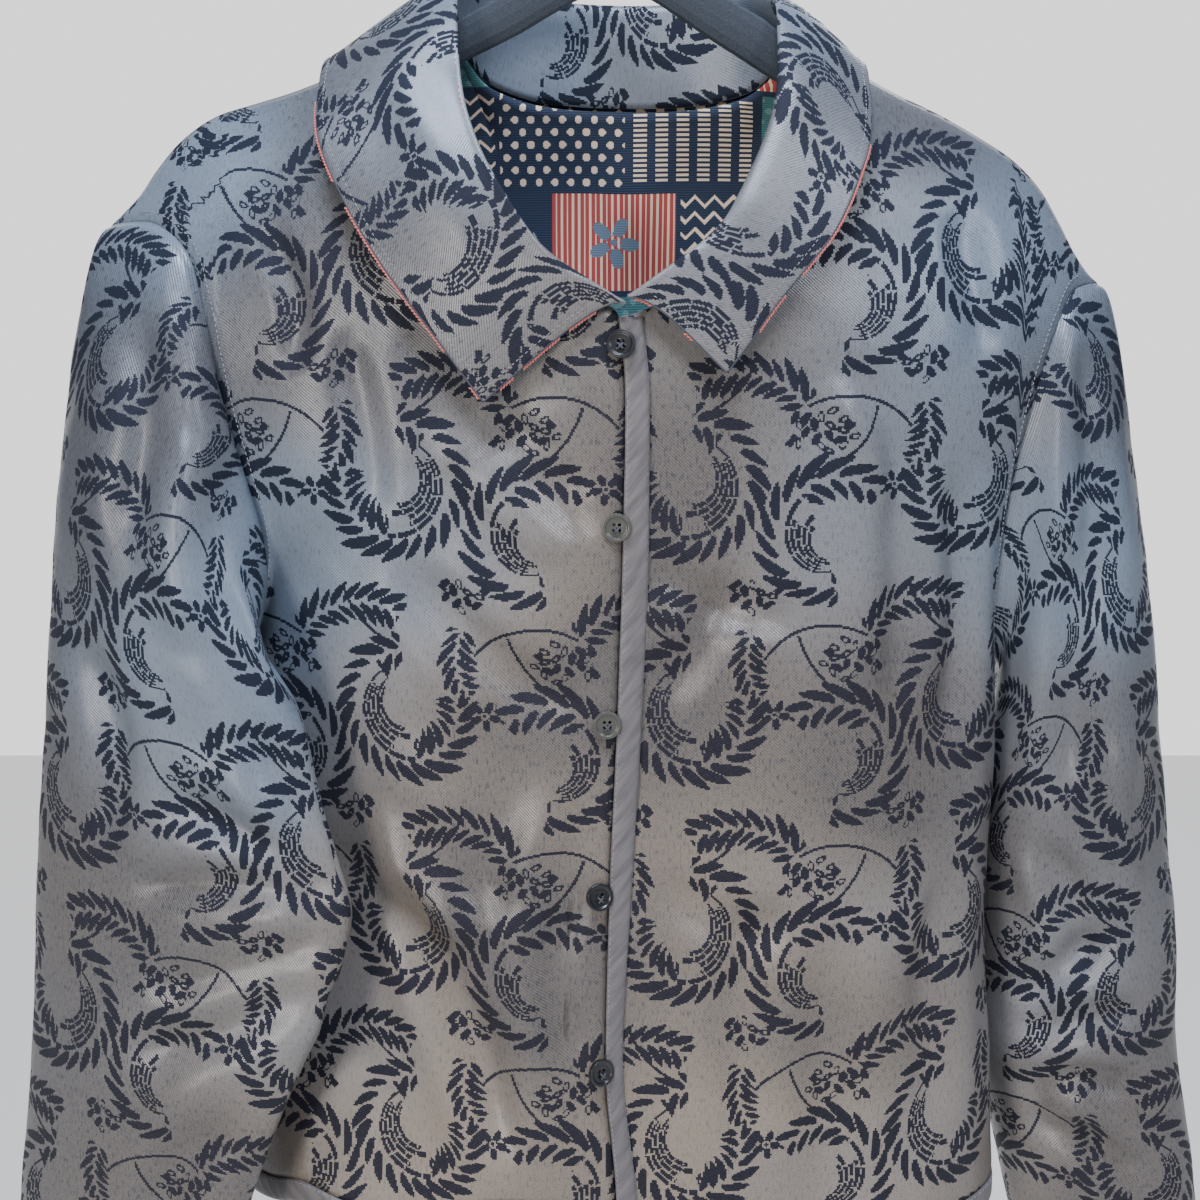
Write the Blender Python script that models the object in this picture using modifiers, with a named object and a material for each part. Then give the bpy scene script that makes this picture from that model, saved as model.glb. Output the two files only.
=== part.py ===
"""Reversible jacquard jacket, buttoned, on its hanger. Sizes are in metres.

The origin is the inside top of the hanger hook, +X is the viewer's right, the front faces -Y and +Z is up.
Every cloth piece is a thin wall on one body shape, so that pieces that meet are made from one seam line.
"""

import bpy
import numpy as np
from mathutils import Matrix

PANEL_WALL = 0.0018
SLEEVE_WALL = 0.0018
BINDING_WALL = 0.0026
COLLAR_WALL = 0.0026
SEAM_GAP = 0.0005
OVERLAP_LIFT = 0.0036
SLEEVE_ROOM = 0.0022
SIDE_ROUNDNESS = 2.4
ARMHOLE_ROWS = 10
NECK_ROWS = 8
PANEL_ROWS = 24
FRONT_COLUMNS = 10
BACK_NECK_COLUMNS = 12
SLEEVE_RINGS = 19
COLLAR_STATIONS = 32
COLLAR_STEPS = 9
BUTTON_RADIUS = 0.0075
BUTTON_THICKNESS = 0.0028

# Colour, roughness and metallic value of each finish.
FINISHES = {
    "shell cloth": ((0.20, 0.20, 0.21), 0.55, 0.0),
    "sleeve cloth": ((0.17, 0.20, 0.25), 0.52, 0.0),
    "collar cloth": ((0.19, 0.22, 0.27), 0.52, 0.0),
    "binding": ((0.20, 0.20, 0.23), 0.60, 0.0),
    "button": ((0.21, 0.20, 0.19), 0.35, 0.0),
    "velvet bar": ((0.10, 0.12, 0.15), 0.90, 0.0),
    "steel wire": ((0.75, 0.75, 0.76), 0.20, 1.0),
}

# Half widths and depths of the hanging body, measured from the hanger's middle plane.
TORSO = {
    "z": [-0.86, -0.78, -0.70, -0.60, -0.52, -0.45, -0.38, -0.32, -0.26, -0.21, -0.16, -0.09],
    "left": [0.226, 0.224, 0.220, 0.215, 0.212, 0.212, 0.224, 0.245, 0.272, 0.292, 0.304, 0.304],
    "right": [0.230, 0.227, 0.222, 0.215, 0.217, 0.214, 0.222, 0.240, 0.270, 0.288, 0.300, 0.300],
    "front": [0.090, 0.087, 0.084, 0.080, 0.077, 0.075, 0.074, 0.073, 0.071, 0.069, 0.066, 0.062],
    "back": [0.068, 0.066, 0.063, 0.060, 0.058, 0.057, 0.057, 0.057, 0.056, 0.055, 0.053, 0.051],
}

# The top line of the shoulders, which lies over the hanger. It is tilted a little, as it hangs.
RIDGE = {
    "x": [-0.300, -0.277, -0.263, -0.249, -0.235, -0.221, -0.194, -0.168, -0.140, -0.095, -0.060, 0.0,
          0.060, 0.097, 0.130, 0.151, 0.179, 0.206, 0.220, 0.235, 0.250, 0.264, 0.290],
    "z": [-0.250, -0.218, -0.203, -0.186, -0.172, -0.162, -0.153, -0.145, -0.133, -0.1105, -0.102, -0.100,
          -0.107, -0.1220, -0.138, -0.149, -0.162, -0.178, -0.188, -0.205, -0.228, -0.249, -0.290],
}

# How much of its full depth the cloth has reached at a distance below the shoulder line.
FALL = {
    "below": [0.0, 0.003, 0.010, 0.030, 0.060, 0.100, 0.150, 0.200],
    "front": [0.0, 0.10, 0.21, 0.44, 0.69, 0.88, 0.98, 1.0],
    "back": [0.0, 0.12, 0.27, 0.62, 0.96, 1.0, 1.0, 1.0],
}

# Armhole seams from the shoulder tip to the underarm, as (x, z) seen from the front.
ARMHOLES = {
    "left front": [(-0.277, -0.218), (-0.263, -0.2160), (-0.247, -0.2175), (-0.2335, -0.225), (-0.2240, -0.243),
                   (-0.2165, -0.2735), (-0.2095, -0.311), (-0.2015, -0.343), (-0.1930, -0.374), (-0.1890, -0.402),
                   (-0.1935, -0.427), (-0.2030, -0.444), (-0.2120, -0.452)],
    "left back": [(-0.277, -0.218), (-0.263, -0.216), (-0.250, -0.224), (-0.240, -0.250), (-0.229, -0.300),
                  (-0.2190, -0.350), (-0.2120, -0.402), (-0.2120, -0.452)],
    "right front": [(0.264, -0.249), (0.254, -0.247), (0.244, -0.258), (0.232, -0.282), (0.223, -0.315),
                    (0.216, -0.350), (0.212, -0.395), (0.211, -0.435), (0.2142, -0.460)],
    "right back": [(0.264, -0.249), (0.253, -0.249), (0.243, -0.265), (0.234, -0.300), (0.225, -0.345),
                   (0.2165, -0.390), (0.2125, -0.430), (0.2142, -0.460)],
}

# Neck seams, as (x, z) seen from the front. The front ones run from the shoulder to the centre.
NECKLINES = {
    "left": [(-0.095, -0.1105), (-0.101, -0.138), (-0.099, -0.165), (-0.088, -0.195), (-0.070, -0.220),
             (-0.045, -0.241), (-0.020, -0.2545), (-0.001, -0.262)],
    "right": [(0.097, -0.1220), (0.102, -0.150), (0.099, -0.175), (0.088, -0.203), (0.070, -0.226),
              (0.045, -0.245), (0.015, -0.260), (-0.018, -0.270)],
    "back": [(-0.095, -0.1105), (-0.080, -0.138), (-0.055, -0.151), (-0.025, -0.156), (0.0, -0.157),
             (0.025, -0.157), (0.055, -0.154), (0.082, -0.144), (0.097, -0.1220)],
}

# The front edges by height: the seam of the bound edge, its outer edge, and the hidden edge below it.
CENTRE = {
    "z": [-0.80, -0.755, -0.672, -0.573, -0.478, -0.374, -0.306, -0.262],
    "binding seam": [-0.001, -0.001, -0.007, -0.005, -0.001, 0.002, 0.003, -0.001],
    "binding edge": [0.011, 0.010, 0.002, 0.0065, 0.0115, 0.015, 0.015, 0.011],
    "under edge": [-0.026, -0.026, -0.030, -0.027, -0.023, -0.020, -0.019, -0.018],
}

# Lower edge of the cloth and of its binding, by x.
HEM = {
    "x": [-0.23, -0.20, -0.184, -0.165, -0.12, -0.080, -0.054, -0.030, 0.0, 0.05, 0.10, 0.15, 0.19, 0.23],
    "front": [-0.764, -0.760, -0.755, -0.762, -0.770, -0.760, -0.748, -0.757, -0.764, -0.772, -0.768, -0.776,
              -0.776, -0.772],
    "back": [-0.764, -0.766, -0.768, -0.770, -0.768, -0.772, -0.774, -0.772, -0.770, -0.773, -0.775, -0.773,
             -0.772, -0.772],
}

# Soft troughs (negative) and ridges: a line seen from the front, its width and its depth.
FOLDS = {
    "front": [
        {"start": (-0.205, -0.40), "end": (-0.150, -0.80), "width": 0.050, "depth": -0.026},
        {"start": (0.172, -0.30), "end": (0.185, -0.66), "width": 0.020, "depth": -0.011},
        {"start": (0.198, -0.36), "end": (0.200, -0.72), "width": 0.012, "depth": 0.005},
        {"start": (-0.020, -0.335), "end": (-0.095, -0.300), "width": 0.016, "depth": -0.004},
        {"start": (0.130, -0.60), "end": (0.118, -0.84), "width": 0.024, "depth": -0.010},
        {"start": (0.070, -0.63), "end": (0.060, -0.84), "width": 0.026, "depth": 0.007},
        {"start": (-0.054, -0.66), "end": (-0.054, -0.84), "width": 0.020, "depth": 0.007},
        {"start": (-0.110, -0.62), "end": (-0.115, -0.84), "width": 0.024, "depth": -0.009},
        {"start": (-0.184, -0.66), "end": (-0.184, -0.84), "width": 0.018, "depth": 0.007},
        {"start": (-0.150, -0.22), "end": (-0.165, -0.42), "width": 0.028, "depth": 0.005},
    ],
    "back": [
        {"start": (-0.140, -0.30), "end": (-0.150, -0.84), "width": 0.026, "depth": -0.010},
        {"start": (-0.070, -0.45), "end": (-0.065, -0.84), "width": 0.028, "depth": 0.008},
        {"start": (0.010, -0.52), "end": (0.000, -0.84), "width": 0.024, "depth": -0.009},
        {"start": (0.085, -0.42), "end": (0.080, -0.84), "width": 0.030, "depth": 0.008},
        {"start": (0.150, -0.40), "end": (0.185, -0.84), "width": 0.045, "depth": -0.018},
    ],
}

# Sleeves, ring by ring below the armhole: its outer and inner end and how far its two faces stand off.
SLEEVES = {
    "left": {
        "outer": [(-0.277, 0.000, -0.218), (-0.288, -0.004, -0.234), (-0.298, -0.010, -0.285), (-0.305, -0.014, -0.340),
                  (-0.309, -0.018, -0.395), (-0.316, -0.020, -0.452), (-0.322, -0.022, -0.510),
                  (-0.329, -0.024, -0.570), (-0.334, -0.026, -0.631), (-0.340, -0.028, -0.693),
                  (-0.348, -0.028, -0.757), (-0.355, -0.028, -0.828)],
        "inner": [(-0.2120, 0.000, -0.452), (-0.2190, -0.026, -0.462), (-0.208, -0.050, -0.464),
                  (-0.189, -0.068, -0.462), (-0.174, -0.080, -0.470), (-0.164, -0.087, -0.496),
                  (-0.154, -0.091, -0.540), (-0.1435, -0.094, -0.582), (-0.1565, -0.094, -0.626),
                  (-0.1765, -0.091, -0.678), (-0.2045, -0.086, -0.748), (-0.2200, -0.082, -0.836)],
        "fullness": 0.9,
        "front": [0.050, 0.056, 0.052, 0.044, 0.037, 0.030, 0.026, 0.024, 0.024, 0.022, 0.020, 0.020],
        "back": [0.045, 0.050, 0.048, 0.044, 0.038, 0.030, 0.022, 0.018, 0.018, 0.018, 0.018, 0.018],
        "front rise": [(0.0, 0.0, 0.0), (0.006, -0.015, 0.000), (0.005, -0.028, -0.002), (-0.004, -0.037, -0.008)],
        "back rise": [(0.0, 0.0, 0.0), (-0.010, 0.005, -0.002), (-0.021, 0.009, -0.006), (-0.032, 0.012, -0.012)],
        "overhang": [(0.0, 0.0, 0.0), (0.011, -0.010, 0.001), (0.022, -0.006, -0.002), (0.018, -0.002, -0.002),
                     (0.006, 0.0, 0.0), (0.0, 0.0, 0.0)],
    },
    "right": {
        "outer": [(0.264, 0.000, -0.249), (0.272, 0.000, -0.262), (0.279, 0.000, -0.300), (0.287, 0.000, -0.345),
                  (0.297, -0.002, -0.400), (0.307, -0.002, -0.458), (0.315, -0.002, -0.517),
                  (0.323, -0.002, -0.578), (0.331, -0.002, -0.640), (0.334, -0.002, -0.700),
                  (0.348, -0.002, -0.768), (0.357, 0.000, -0.836)],
        "inner": [(0.2142, 0.000, -0.460), (0.2200, 0.010, -0.472), (0.2190, 0.020, -0.486), (0.2160, 0.028, -0.506),
                  (0.2125, 0.034, -0.532), (0.2100, 0.037, -0.562), (0.2090, 0.039, -0.596),
                  (0.2110, 0.040, -0.636), (0.2160, 0.040, -0.676), (0.2220, 0.040, -0.722),
                  (0.2380, 0.038, -0.780), (0.2510, 0.034, -0.840)],
        "fullness": 1.05,
        "front": [0.050, 0.052, 0.050, 0.048, 0.046, 0.044, 0.042, 0.040, 0.038, 0.036, 0.034, 0.032],
        "back": [0.046, 0.050, 0.050, 0.048, 0.046, 0.044, 0.042, 0.040, 0.038, 0.036, 0.034, 0.032],
        "front rise": [(0.0, 0.0, 0.0), (0.011, -0.005, -0.002), (0.023, -0.008, -0.006), (0.036, -0.010, -0.012)],
        "back rise": [(0.0, 0.0, 0.0), (0.009, 0.008, -0.002), (0.020, 0.014, -0.006), (0.032, 0.018, -0.012)],
        "overhang": [(0.0, 0.0, 0.0), (0.0, 0.0, 0.0), (0.0, 0.0, 0.0), (0.0, 0.0, 0.0), (0.0, 0.0, 0.0),
                     (0.0, 0.0, 0.0)],
    },
}

# Collar sections from the front end of the left leaf round the back to the front end of the right leaf.
# Each has its neck seam point, the top of its roll and its outer edge.
COLLAR = {
    "neck": [(-0.001, -0.262), (-0.020, -0.2545), (-0.045, -0.241), (-0.070, -0.220), (-0.088, -0.195),
             (-0.099, -0.165), (-0.101, -0.138), (-0.095, -0.1105), (-0.080, -0.138), (-0.040, -0.154), (0.0, -0.157),
             (0.040, -0.156), (0.082, -0.144), (0.097, -0.1220), (0.102, -0.150), (0.099, -0.175), (0.088, -0.203),
             (0.070, -0.226), (0.045, -0.245), (0.028, -0.254), (0.015, -0.260)],
    "roll": [(0.0010, -0.0810, -0.2560), (-0.0190, -0.0830, -0.2430), (-0.0380, -0.0810, -0.2280),
             (-0.0560, -0.0760, -0.2060), (-0.0720, -0.0650, -0.1780), (-0.0810, -0.0490, -0.1480),
             (-0.0840, -0.0280, -0.1150), (-0.0835, 0.0030, -0.0880), (-0.0700, 0.0340, -0.0890),
             (-0.0400, 0.0500, -0.0960), (0.0000, 0.0550, -0.0990), (0.0380, 0.0510, -0.0980),
             (0.0680, 0.0370, -0.0950), (0.0840, 0.0030, -0.1000), (0.0830, -0.0260, -0.1270),
             (0.0800, -0.0480, -0.1600), (0.0680, -0.0640, -0.1920), (0.0530, -0.0740, -0.2150),
             (0.0360, -0.0790, -0.2310), (0.0170, -0.0805, -0.2450), (0.0040, -0.0810, -0.2530)],
    "edge": [(-0.0695, -0.0830, -0.3060), (-0.0810, -0.0830, -0.2905), (-0.0950, -0.0820, -0.2710),
             (-0.1150, -0.0780, -0.2450), (-0.1350, -0.0700, -0.2140), (-0.1510, -0.0560, -0.1830),
             (-0.1570, -0.0360, -0.1590), (-0.1530, 0.0020, -0.1300), (-0.1200, 0.0500, -0.1520),
             (-0.0640, 0.0680, -0.1740), (0.0000, 0.0720, -0.1800), (0.0600, 0.0700, -0.1760),
             (0.1100, 0.0480, -0.1600), (0.1300, 0.0020, -0.1320), (0.1310, -0.0400, -0.1660),
             (0.1240, -0.0580, -0.1900), (0.1120, -0.0710, -0.2160), (0.0980, -0.0770, -0.2350),
             (0.0820, -0.0800, -0.2540), (0.0650, -0.0820, -0.2780), (0.0550, -0.0830, -0.2910)],
}
COLLAR_SET_IN = 0.0022
COLLAR_RISE = 0.0017
COLLAR_SHOULDER_ROOM = 0.0024
COLLAR_INNER_ROUND = 0.007
COLLAR_OUTER_ROUND = 0.016

# A button's section from the middle of its top, over the raised rim, to the middle of its underside.
BUTTON_PROFILE = [(0.0, 0.72), (0.60, 0.72), (0.72, 0.95), (0.88, 1.0), (1.0, 0.75), (1.0, 0.35), (0.82, 0.0),
                  (0.0, 0.0)]
BUTTON_STEPS = 24

# Buttons by centre, by how far each leans, in degrees, forward at the foot and to the side, and by its seat,
# which is how far its underside stands off the cloth's line.
BUTTONS = [
    {"x": 0.001, "z": -0.2790, "lean": 14, "turn": -10, "seat": 0.00005},
    {"x": -0.001, "z": -0.3740, "lean": 3, "turn": -4, "seat": 0.00012},
    {"x": -0.006, "z": -0.4800, "lean": 3, "turn": 5, "seat": 0.00062},
    {"x": -0.010, "z": -0.5750, "lean": 7, "turn": 22, "seat": 0.00022},
    {"x": -0.009, "z": -0.6750, "lean": 5, "turn": 30, "seat": 0.00026},
]

# The hanger's arms: the middle of the bar, its height and thickness.
HANGER = {
    "x": [-0.2185, -0.206, -0.185, -0.154, -0.120, -0.090, -0.0535, -0.028, 0.0, 0.028, 0.0500, 0.073, 0.095,
          0.130, 0.160, 0.185, 0.206, 0.2185],
    "z": [-0.1780, -0.1715, -0.1640, -0.1545, -0.1395, -0.1255, -0.1070, -0.0925, -0.0830, -0.0950, -0.1090,
          -0.1225, -0.1380, -0.1535, -0.1670, -0.1800, -0.1960, -0.2065],
    "height": [0.012, 0.018, 0.019, 0.019, 0.019, 0.020, 0.022, 0.022, 0.022, 0.022, 0.023, 0.024, 0.020,
               0.019, 0.019, 0.019, 0.018, 0.012],
}
HANGER_THICKNESS = 0.0075
WIRE_RADIUS = 0.0019
# Middle of the hook's wire from the bar to its tip, as (x, z).
HOOK = [(0.0, -0.0717), (0.0, -0.0600), (0.0020, -0.0500), (0.0110, -0.0410), (0.0192, -0.0320), (0.0222, -0.0203),
        (0.0192, -0.0092), (0.0111, -0.0011), (0.0, 0.0019), (-0.0111, -0.0011), (-0.0192, -0.0092),
        (-0.0222, -0.0203), (-0.0200, -0.0300), (-0.0160, -0.0360)]
HOOK_STEPS = 34


def read(table, known, wanted, value):
    """Reads a column of a table at any value of another one, on a smooth line that doesn't overshoot."""
    steps = np.array(table[known], float)
    heights = np.array(table[wanted], float)
    gaps = np.diff(steps)
    rises = np.diff(heights) / gaps
    slopes = np.zeros(len(steps))
    slopes[0] = rises[0]
    slopes[-1] = rises[-1]
    before = rises[:-1]
    after = rises[1:]
    same_way = before * after > 0
    weight_before = 2 * gaps[1:] + gaps[:-1]
    weight_after = gaps[1:] + 2 * gaps[:-1]
    safe_before = np.where(same_way, before, 1.0)
    safe_after = np.where(same_way, after, 1.0)
    mean = (weight_before + weight_after) / (weight_before / safe_before + weight_after / safe_after)
    slopes[1:-1] = np.where(same_way, mean, 0.0)
    place = np.clip(np.asarray(value, float), steps[0], steps[-1])
    i = np.clip(np.searchsorted(steps, place) - 1, 0, len(gaps) - 1)
    t = (place - steps[i]) / gaps[i]
    start = (1 + 2 * t) * (1 - t) ** 2 * heights[i] + t * (1 - t) ** 2 * gaps[i] * slopes[i]
    finish = t * t * (3 - 2 * t) * heights[i + 1] + t * t * (t - 1) * gaps[i] * slopes[i + 1]
    return start + finish


def smooth_path(points, count):
    """Points spread evenly by length along a smooth line through the given ones."""
    points = np.array(points, float)
    lengths = np.concatenate([[0], np.cumsum(np.linalg.norm(np.diff(points, axis=0), axis=1))])
    fine = catmull(lengths, points, np.linspace(0, lengths[-1], 40 * len(points)))
    walked = np.concatenate([[0], np.cumsum(np.linalg.norm(np.diff(fine, axis=0), axis=1))])
    even = np.linspace(0, walked[-1], count + 1)
    return np.stack([np.interp(even, walked, fine[:, axis]) for axis in range(points.shape[1])], axis=1)


def catmull(stops, points, places):
    """A smooth line through the points, each reached at its stop, read at the places."""
    slopes = np.gradient(points, stops, axis=0)
    i = np.clip(np.searchsorted(stops, places) - 1, 0, len(stops) - 2)
    gap = (stops[i + 1] - stops[i])[:, None]
    t = ((places - stops[i])[:, None]) / gap
    start = (1 + 2 * t) * (1 - t) ** 2 * points[i] + t * (1 - t) ** 2 * gap * slopes[i]
    finish = t * t * (3 - 2 * t) * points[i + 1] + t * t * (t - 1) * gap * slopes[i + 1]
    return start + finish


def ease(value):
    """0 below 0, 1 above 1, with a smooth step between."""
    t = np.clip(value, 0, 1)
    return t * t * (3 - 2 * t)


def half_width(side, z):
    return read(TORSO, "z", side, z)


def ridge(x):
    return read(RIDGE, "x", "z", x)


def folds(face, x, z):
    """How far the cloth's folds stand out from its plain form."""
    total = np.zeros(np.broadcast(x, z).shape)
    for fold in FOLDS[face]:
        start = np.array(fold["start"])
        run = np.array(fold["end"]) - start
        length = np.hypot(*run)
        along = ((x - start[0]) * run[0] + (z - start[1]) * run[1]) / length**2
        across = ((x - start[0]) * run[1] - (z - start[1]) * run[0]) / length
        ends = ease(along * 2.2) * ease((1 - along) * 2.2)
        total = total + fold["depth"] * ends * np.exp(-((across / fold["width"]) ** 2))
    return total


def depth(face, x, z):
    """Distance of the cloth's outer face from the hanger's middle plane."""
    width = np.where(x < 0, half_width("left", z), half_width("right", z))
    part = np.clip(np.abs(x) / width, 0, 1)
    across = np.clip(1 - part**SIDE_ROUNDNESS, 0, 1) ** (1 / SIDE_ROUNDNESS)
    below = np.maximum(ridge(x) - z, 0)
    reached = read(FALL, "below", face, below)
    return (read(TORSO, "z", face, z) + folds(face, x, z)) * across * reached


def on_body(face, x, z, lift=0.0):
    """Points of the cloth's outer face at a place seen from the front."""
    way = -1 if face == "front" else 1
    x = np.asarray(x, float)
    z = np.asarray(z, float)
    return np.stack([x, way * (depth(face, x, z) + lift), z], axis=-1)


def overlap_lift(x):
    """The buttoned front lies over the other one near the centre."""
    return OVERLAP_LIFT * ease((x + 0.075) / 0.050)


def armhole(side, face):
    """Armhole seam points from the shoulder tip to the underarm."""
    flat = smooth_path(ARMHOLES[side + " " + face], 200)
    seam = on_body(face, flat[:, 0], flat[:, 1])
    seam[0, 1] = 0.0
    seam[-1, 1] = 0.0
    return smooth_path(seam[::4], ARMHOLE_ROWS)


def side_seam(side):
    """Points from the underarm to the lower edge, on the hanger's middle plane."""
    way = -1 if side == "left" else 1
    top = ARMHOLES[side + " front"][-1][1]
    low = read(HEM, "x", "front", way * 0.222)
    z = np.linspace(top, low, PANEL_ROWS - ARMHOLE_ROWS + 1)
    return np.stack([way * half_width(side, z), np.zeros(len(z)), z], axis=1)


def front_outer(side):
    return np.concatenate([armhole(side, "front"), side_seam(side)[1:]])


def front_inner(side):
    """Neck seam, then the centre edge, as (x, z)."""
    neck = smooth_path(NECKLINES[side], NECK_ROWS)
    edge = "binding seam" if side == "left" else "under edge"
    low = float(read(HEM, "x", "front", neck[-1, 0]))
    z = np.linspace(neck[-1, 1], low, PANEL_ROWS - NECK_ROWS + 1)[1:]
    return np.concatenate([neck, np.stack([read(CENTRE, "z", edge, z), z], axis=1)])


def front_panel(side):
    """Grid of a front, by row from the shoulder to the lower edge and by column from centre to side."""
    inner = front_inner(side)
    outer = front_outer(side)
    columns = np.linspace(0, 1, FRONT_COLUMNS + 1)
    grid = np.zeros((PANEL_ROWS + 1, FRONT_COLUMNS + 1, 3))
    hem_chord = inner[-1, 1] + (outer[-1, 2] - inner[-1, 1]) * columns
    for row in range(PANEL_ROWS + 1):
        z = inner[row, 1] + (outer[row, 2] - inner[row, 1]) * columns
        width = half_width(side, z)
        angle_in = np.arcsin(np.clip(inner[row, 0] / width[0], -1, 1))
        angle_out = np.arcsin(np.clip(outer[row, 0] / width[-1], -1, 1))
        turn = np.sin(angle_in + (angle_out - angle_in) * columns)
        x = width * turn
        below_in = ridge(inner[row, 0]) - inner[row, 1]
        below_out = ridge(outer[row, 0]) - outer[row, 2]
        hung = ridge(x) - (below_in + (below_out - below_in) * columns)
        z = hung + (z - hung) * ease(row / NECK_ROWS)
        z = z + ease((row - NECK_ROWS) / (PANEL_ROWS - NECK_ROWS)) * (read(HEM, "x", "front", x) - hem_chord)
        x = half_width(side, z) * turn
        z[0] = inner[row, 1]
        x[0] = inner[row, 0]
        lift = overlap_lift(x) if side == "left" else 0.0
        grid[row] = on_body("front", x, z, lift)
    grid[:, -1] = outer
    grid[0, :, 1] = 0.0
    return grid


def turn_of(x, z):
    """The angle round the body of a place seen from the front: 0 in the middle, a quarter turn at a side."""
    width = np.where(x < 0, half_width("left", z), half_width("right", z))
    return np.arcsin(np.clip(x / width, -1, 1))


def share_down(point, low):
    """How far down a side point is, from 0 at the shoulder line to 1 at the lower edge."""
    top = ridge(point[0])
    return (top - point[2]) / (top - low)


def back_panel(left_front, right_front):
    """Grid of the back, by row from the top edge down and by column from the left side to the right."""
    neck = smooth_path(NECKLINES["back"], BACK_NECK_COLUMNS)
    neck = on_body("back", neck[:, 0], neck[:, 1])
    neck[0] = left_front[0, 0]
    neck[-1] = right_front[0, 0]
    top = np.concatenate([left_front[0, ::-1], neck[1:-1], right_front[0]])
    left = np.concatenate([armhole("left", "back"), side_seam("left")[1:]])
    right = np.concatenate([armhole("right", "back"), side_seam("right")[1:]])
    count = len(top)
    places = np.linspace(0, 1, count)
    low_chord = left[-1, 2] + (right[-1, 2] - left[-1, 2]) * places
    top_turn = turn_of(top[:, 0], top[:, 2])
    grid = np.zeros((PANEL_ROWS + 1, count, 3))
    for row in range(PANEL_ROWS + 1):
        down_left = share_down(left[row], left[-1, 2])
        down_right = share_down(right[row], right[-1, 2])
        down = down_left + (down_right - down_left) * places
        level = left[row, 2] + (right[row, 2] - left[row, 2]) * places
        level = level + ease(down) * (read(HEM, "x", "back", top[:, 0]) - low_chord)
        z = top[:, 2] + (left[-1, 2] - top[:, 2]) * down
        z = z + (level - z) * ease(down * 2.5)
        turn_left = turn_of(left[row, 0], left[row, 2])
        turn_right = turn_of(right[row, 0], right[row, 2])
        kept = top_turn * np.where(top_turn < 0, turn_left / top_turn[0], turn_right / top_turn[-1])
        even = turn_left + (turn_right - turn_left) * places
        turn = kept + (even - kept) * ease(down * 1.6)
        x = np.where(turn < 0, half_width("left", z), half_width("right", z)) * np.sin(turn)
        grid[row] = on_body("back", x, z)
    grid[0] = top
    grid[:, 0] = left
    grid[:, -1] = right
    return grid


def read_early(column, stops, places):
    """Reads a column that has values for a sleeve's first stops only."""
    known = stops[:len(column)]
    return catmull(known, np.array(column), np.minimum(places, known[-1]))


def sleeve(side):
    """Grid of a sleeve: rings from the armhole to the cuff, each running round its front and back."""
    front = armhole(side, "front")
    back = armhole(side, "back")
    seam = np.concatenate([front, back[-2:0:-1]])
    table = SLEEVES[side]
    stops = np.linspace(0, 1, len(table["outer"]))
    places = np.linspace(0, 1, SLEEVE_RINGS + 1)
    outer = catmull(stops, np.array(table["outer"]), places)
    inner = catmull(stops, np.array(table["inner"]), places)
    reach = catmull(stops, np.array([table["front"], table["back"]]).T, places)
    front_rise, back_rise, overhang = [read_early(table[name], stops, places)
                                       for name in ("front rise", "back rise", "overhang")]
    grid = np.zeros((SLEEVE_RINGS + 1, 2 * ARMHOLE_ROWS, 3))
    turns = np.arange(2 * ARMHOLE_ROWS) * np.pi / ARMHOLE_ROWS
    low_front = np.exp(-(((turns - 0.87 * np.pi) / 0.50) ** 2))
    for row in range(SLEEVE_RINGS + 1):
        middle = (outer[row] + inner[row]) / 2
        reach_out = (outer[row] - inner[row]) / 2
        across = reach_out / np.linalg.norm(reach_out)
        forward = np.array([0.0, -1.0, 0.0])
        forward = forward - across * np.dot(forward, across)
        forward = forward / np.linalg.norm(forward)
        side_reach = np.where(np.sin(turns) >= 0, reach[row, 0], reach[row, 1])
        height = np.sign(np.sin(turns)) * np.abs(np.sin(turns)) ** table["fullness"]
        ring = middle + np.cos(turns)[:, None] * reach_out + (side_reach * height)[:, None] * forward
        blend = ease(places[row] * (len(stops) - 1) / 4)
        top_share = ((1 + np.cos(turns)) / 2)[:, None] ** 3
        low_share = ((1 - np.cos(turns)) / 2)[:, None] ** 3
        rise = np.where(np.sin(turns)[:, None] >= 0, front_rise[row], back_rise[row])
        tied = seam + (outer[row] - outer[0]) * top_share + (inner[row] - inner[0]) * low_share
        tied = tied + rise * (1 - top_share - low_share)
        grid[row] = tied + (ring - tied) * blend + low_front[:, None] * overhang[row]
    grid[0] = seam
    return clear_of_body(side, grid)


def clear_of_body(side, grid):
    """Keeps a sleeve outside the body: the one before its front, the other behind its back."""
    moved = grid.copy()
    place = np.arange(grid.shape[1])
    half = place <= grid.shape[1] // 2
    low = np.abs(place - 11.5) <= 2.5
    for row in range(1, len(grid)):
        x, y, z = grid[row].T
        if side == "left":
            ahead = half | (low & (row >= 2)) | (row >= 6)
        else:
            ahead = half & (row < 4)
        width = np.where(x < 0, half_width("left", z), half_width("right", z))
        beside = np.abs(x) < width
        room = SLEEVE_ROOM * ease(row / 2)
        before = np.minimum(y, -depth("front", x, z) - room)
        behind = np.maximum(y, depth("back", x, z) + room)
        moved[row, :, 1] = np.where(beside, np.where(ahead, before, behind), y)
    return moved


def neck_seam():
    """The whole neck seam, from the centre front round the back to the centre front again."""
    left = smooth_path(NECKLINES["left"][::-1], 150)
    back = smooth_path(NECKLINES["back"], 200)
    right = smooth_path(NECKLINES["right"], 150)
    left = on_body("front", left[:, 0], left[:, 1], overlap_lift(left[:, 0]))
    back = on_body("back", back[:, 0], back[:, 1])
    right = on_body("front", right[:, 0], right[:, 1])
    return np.concatenate([left, back[1:], right[1:]])


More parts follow.
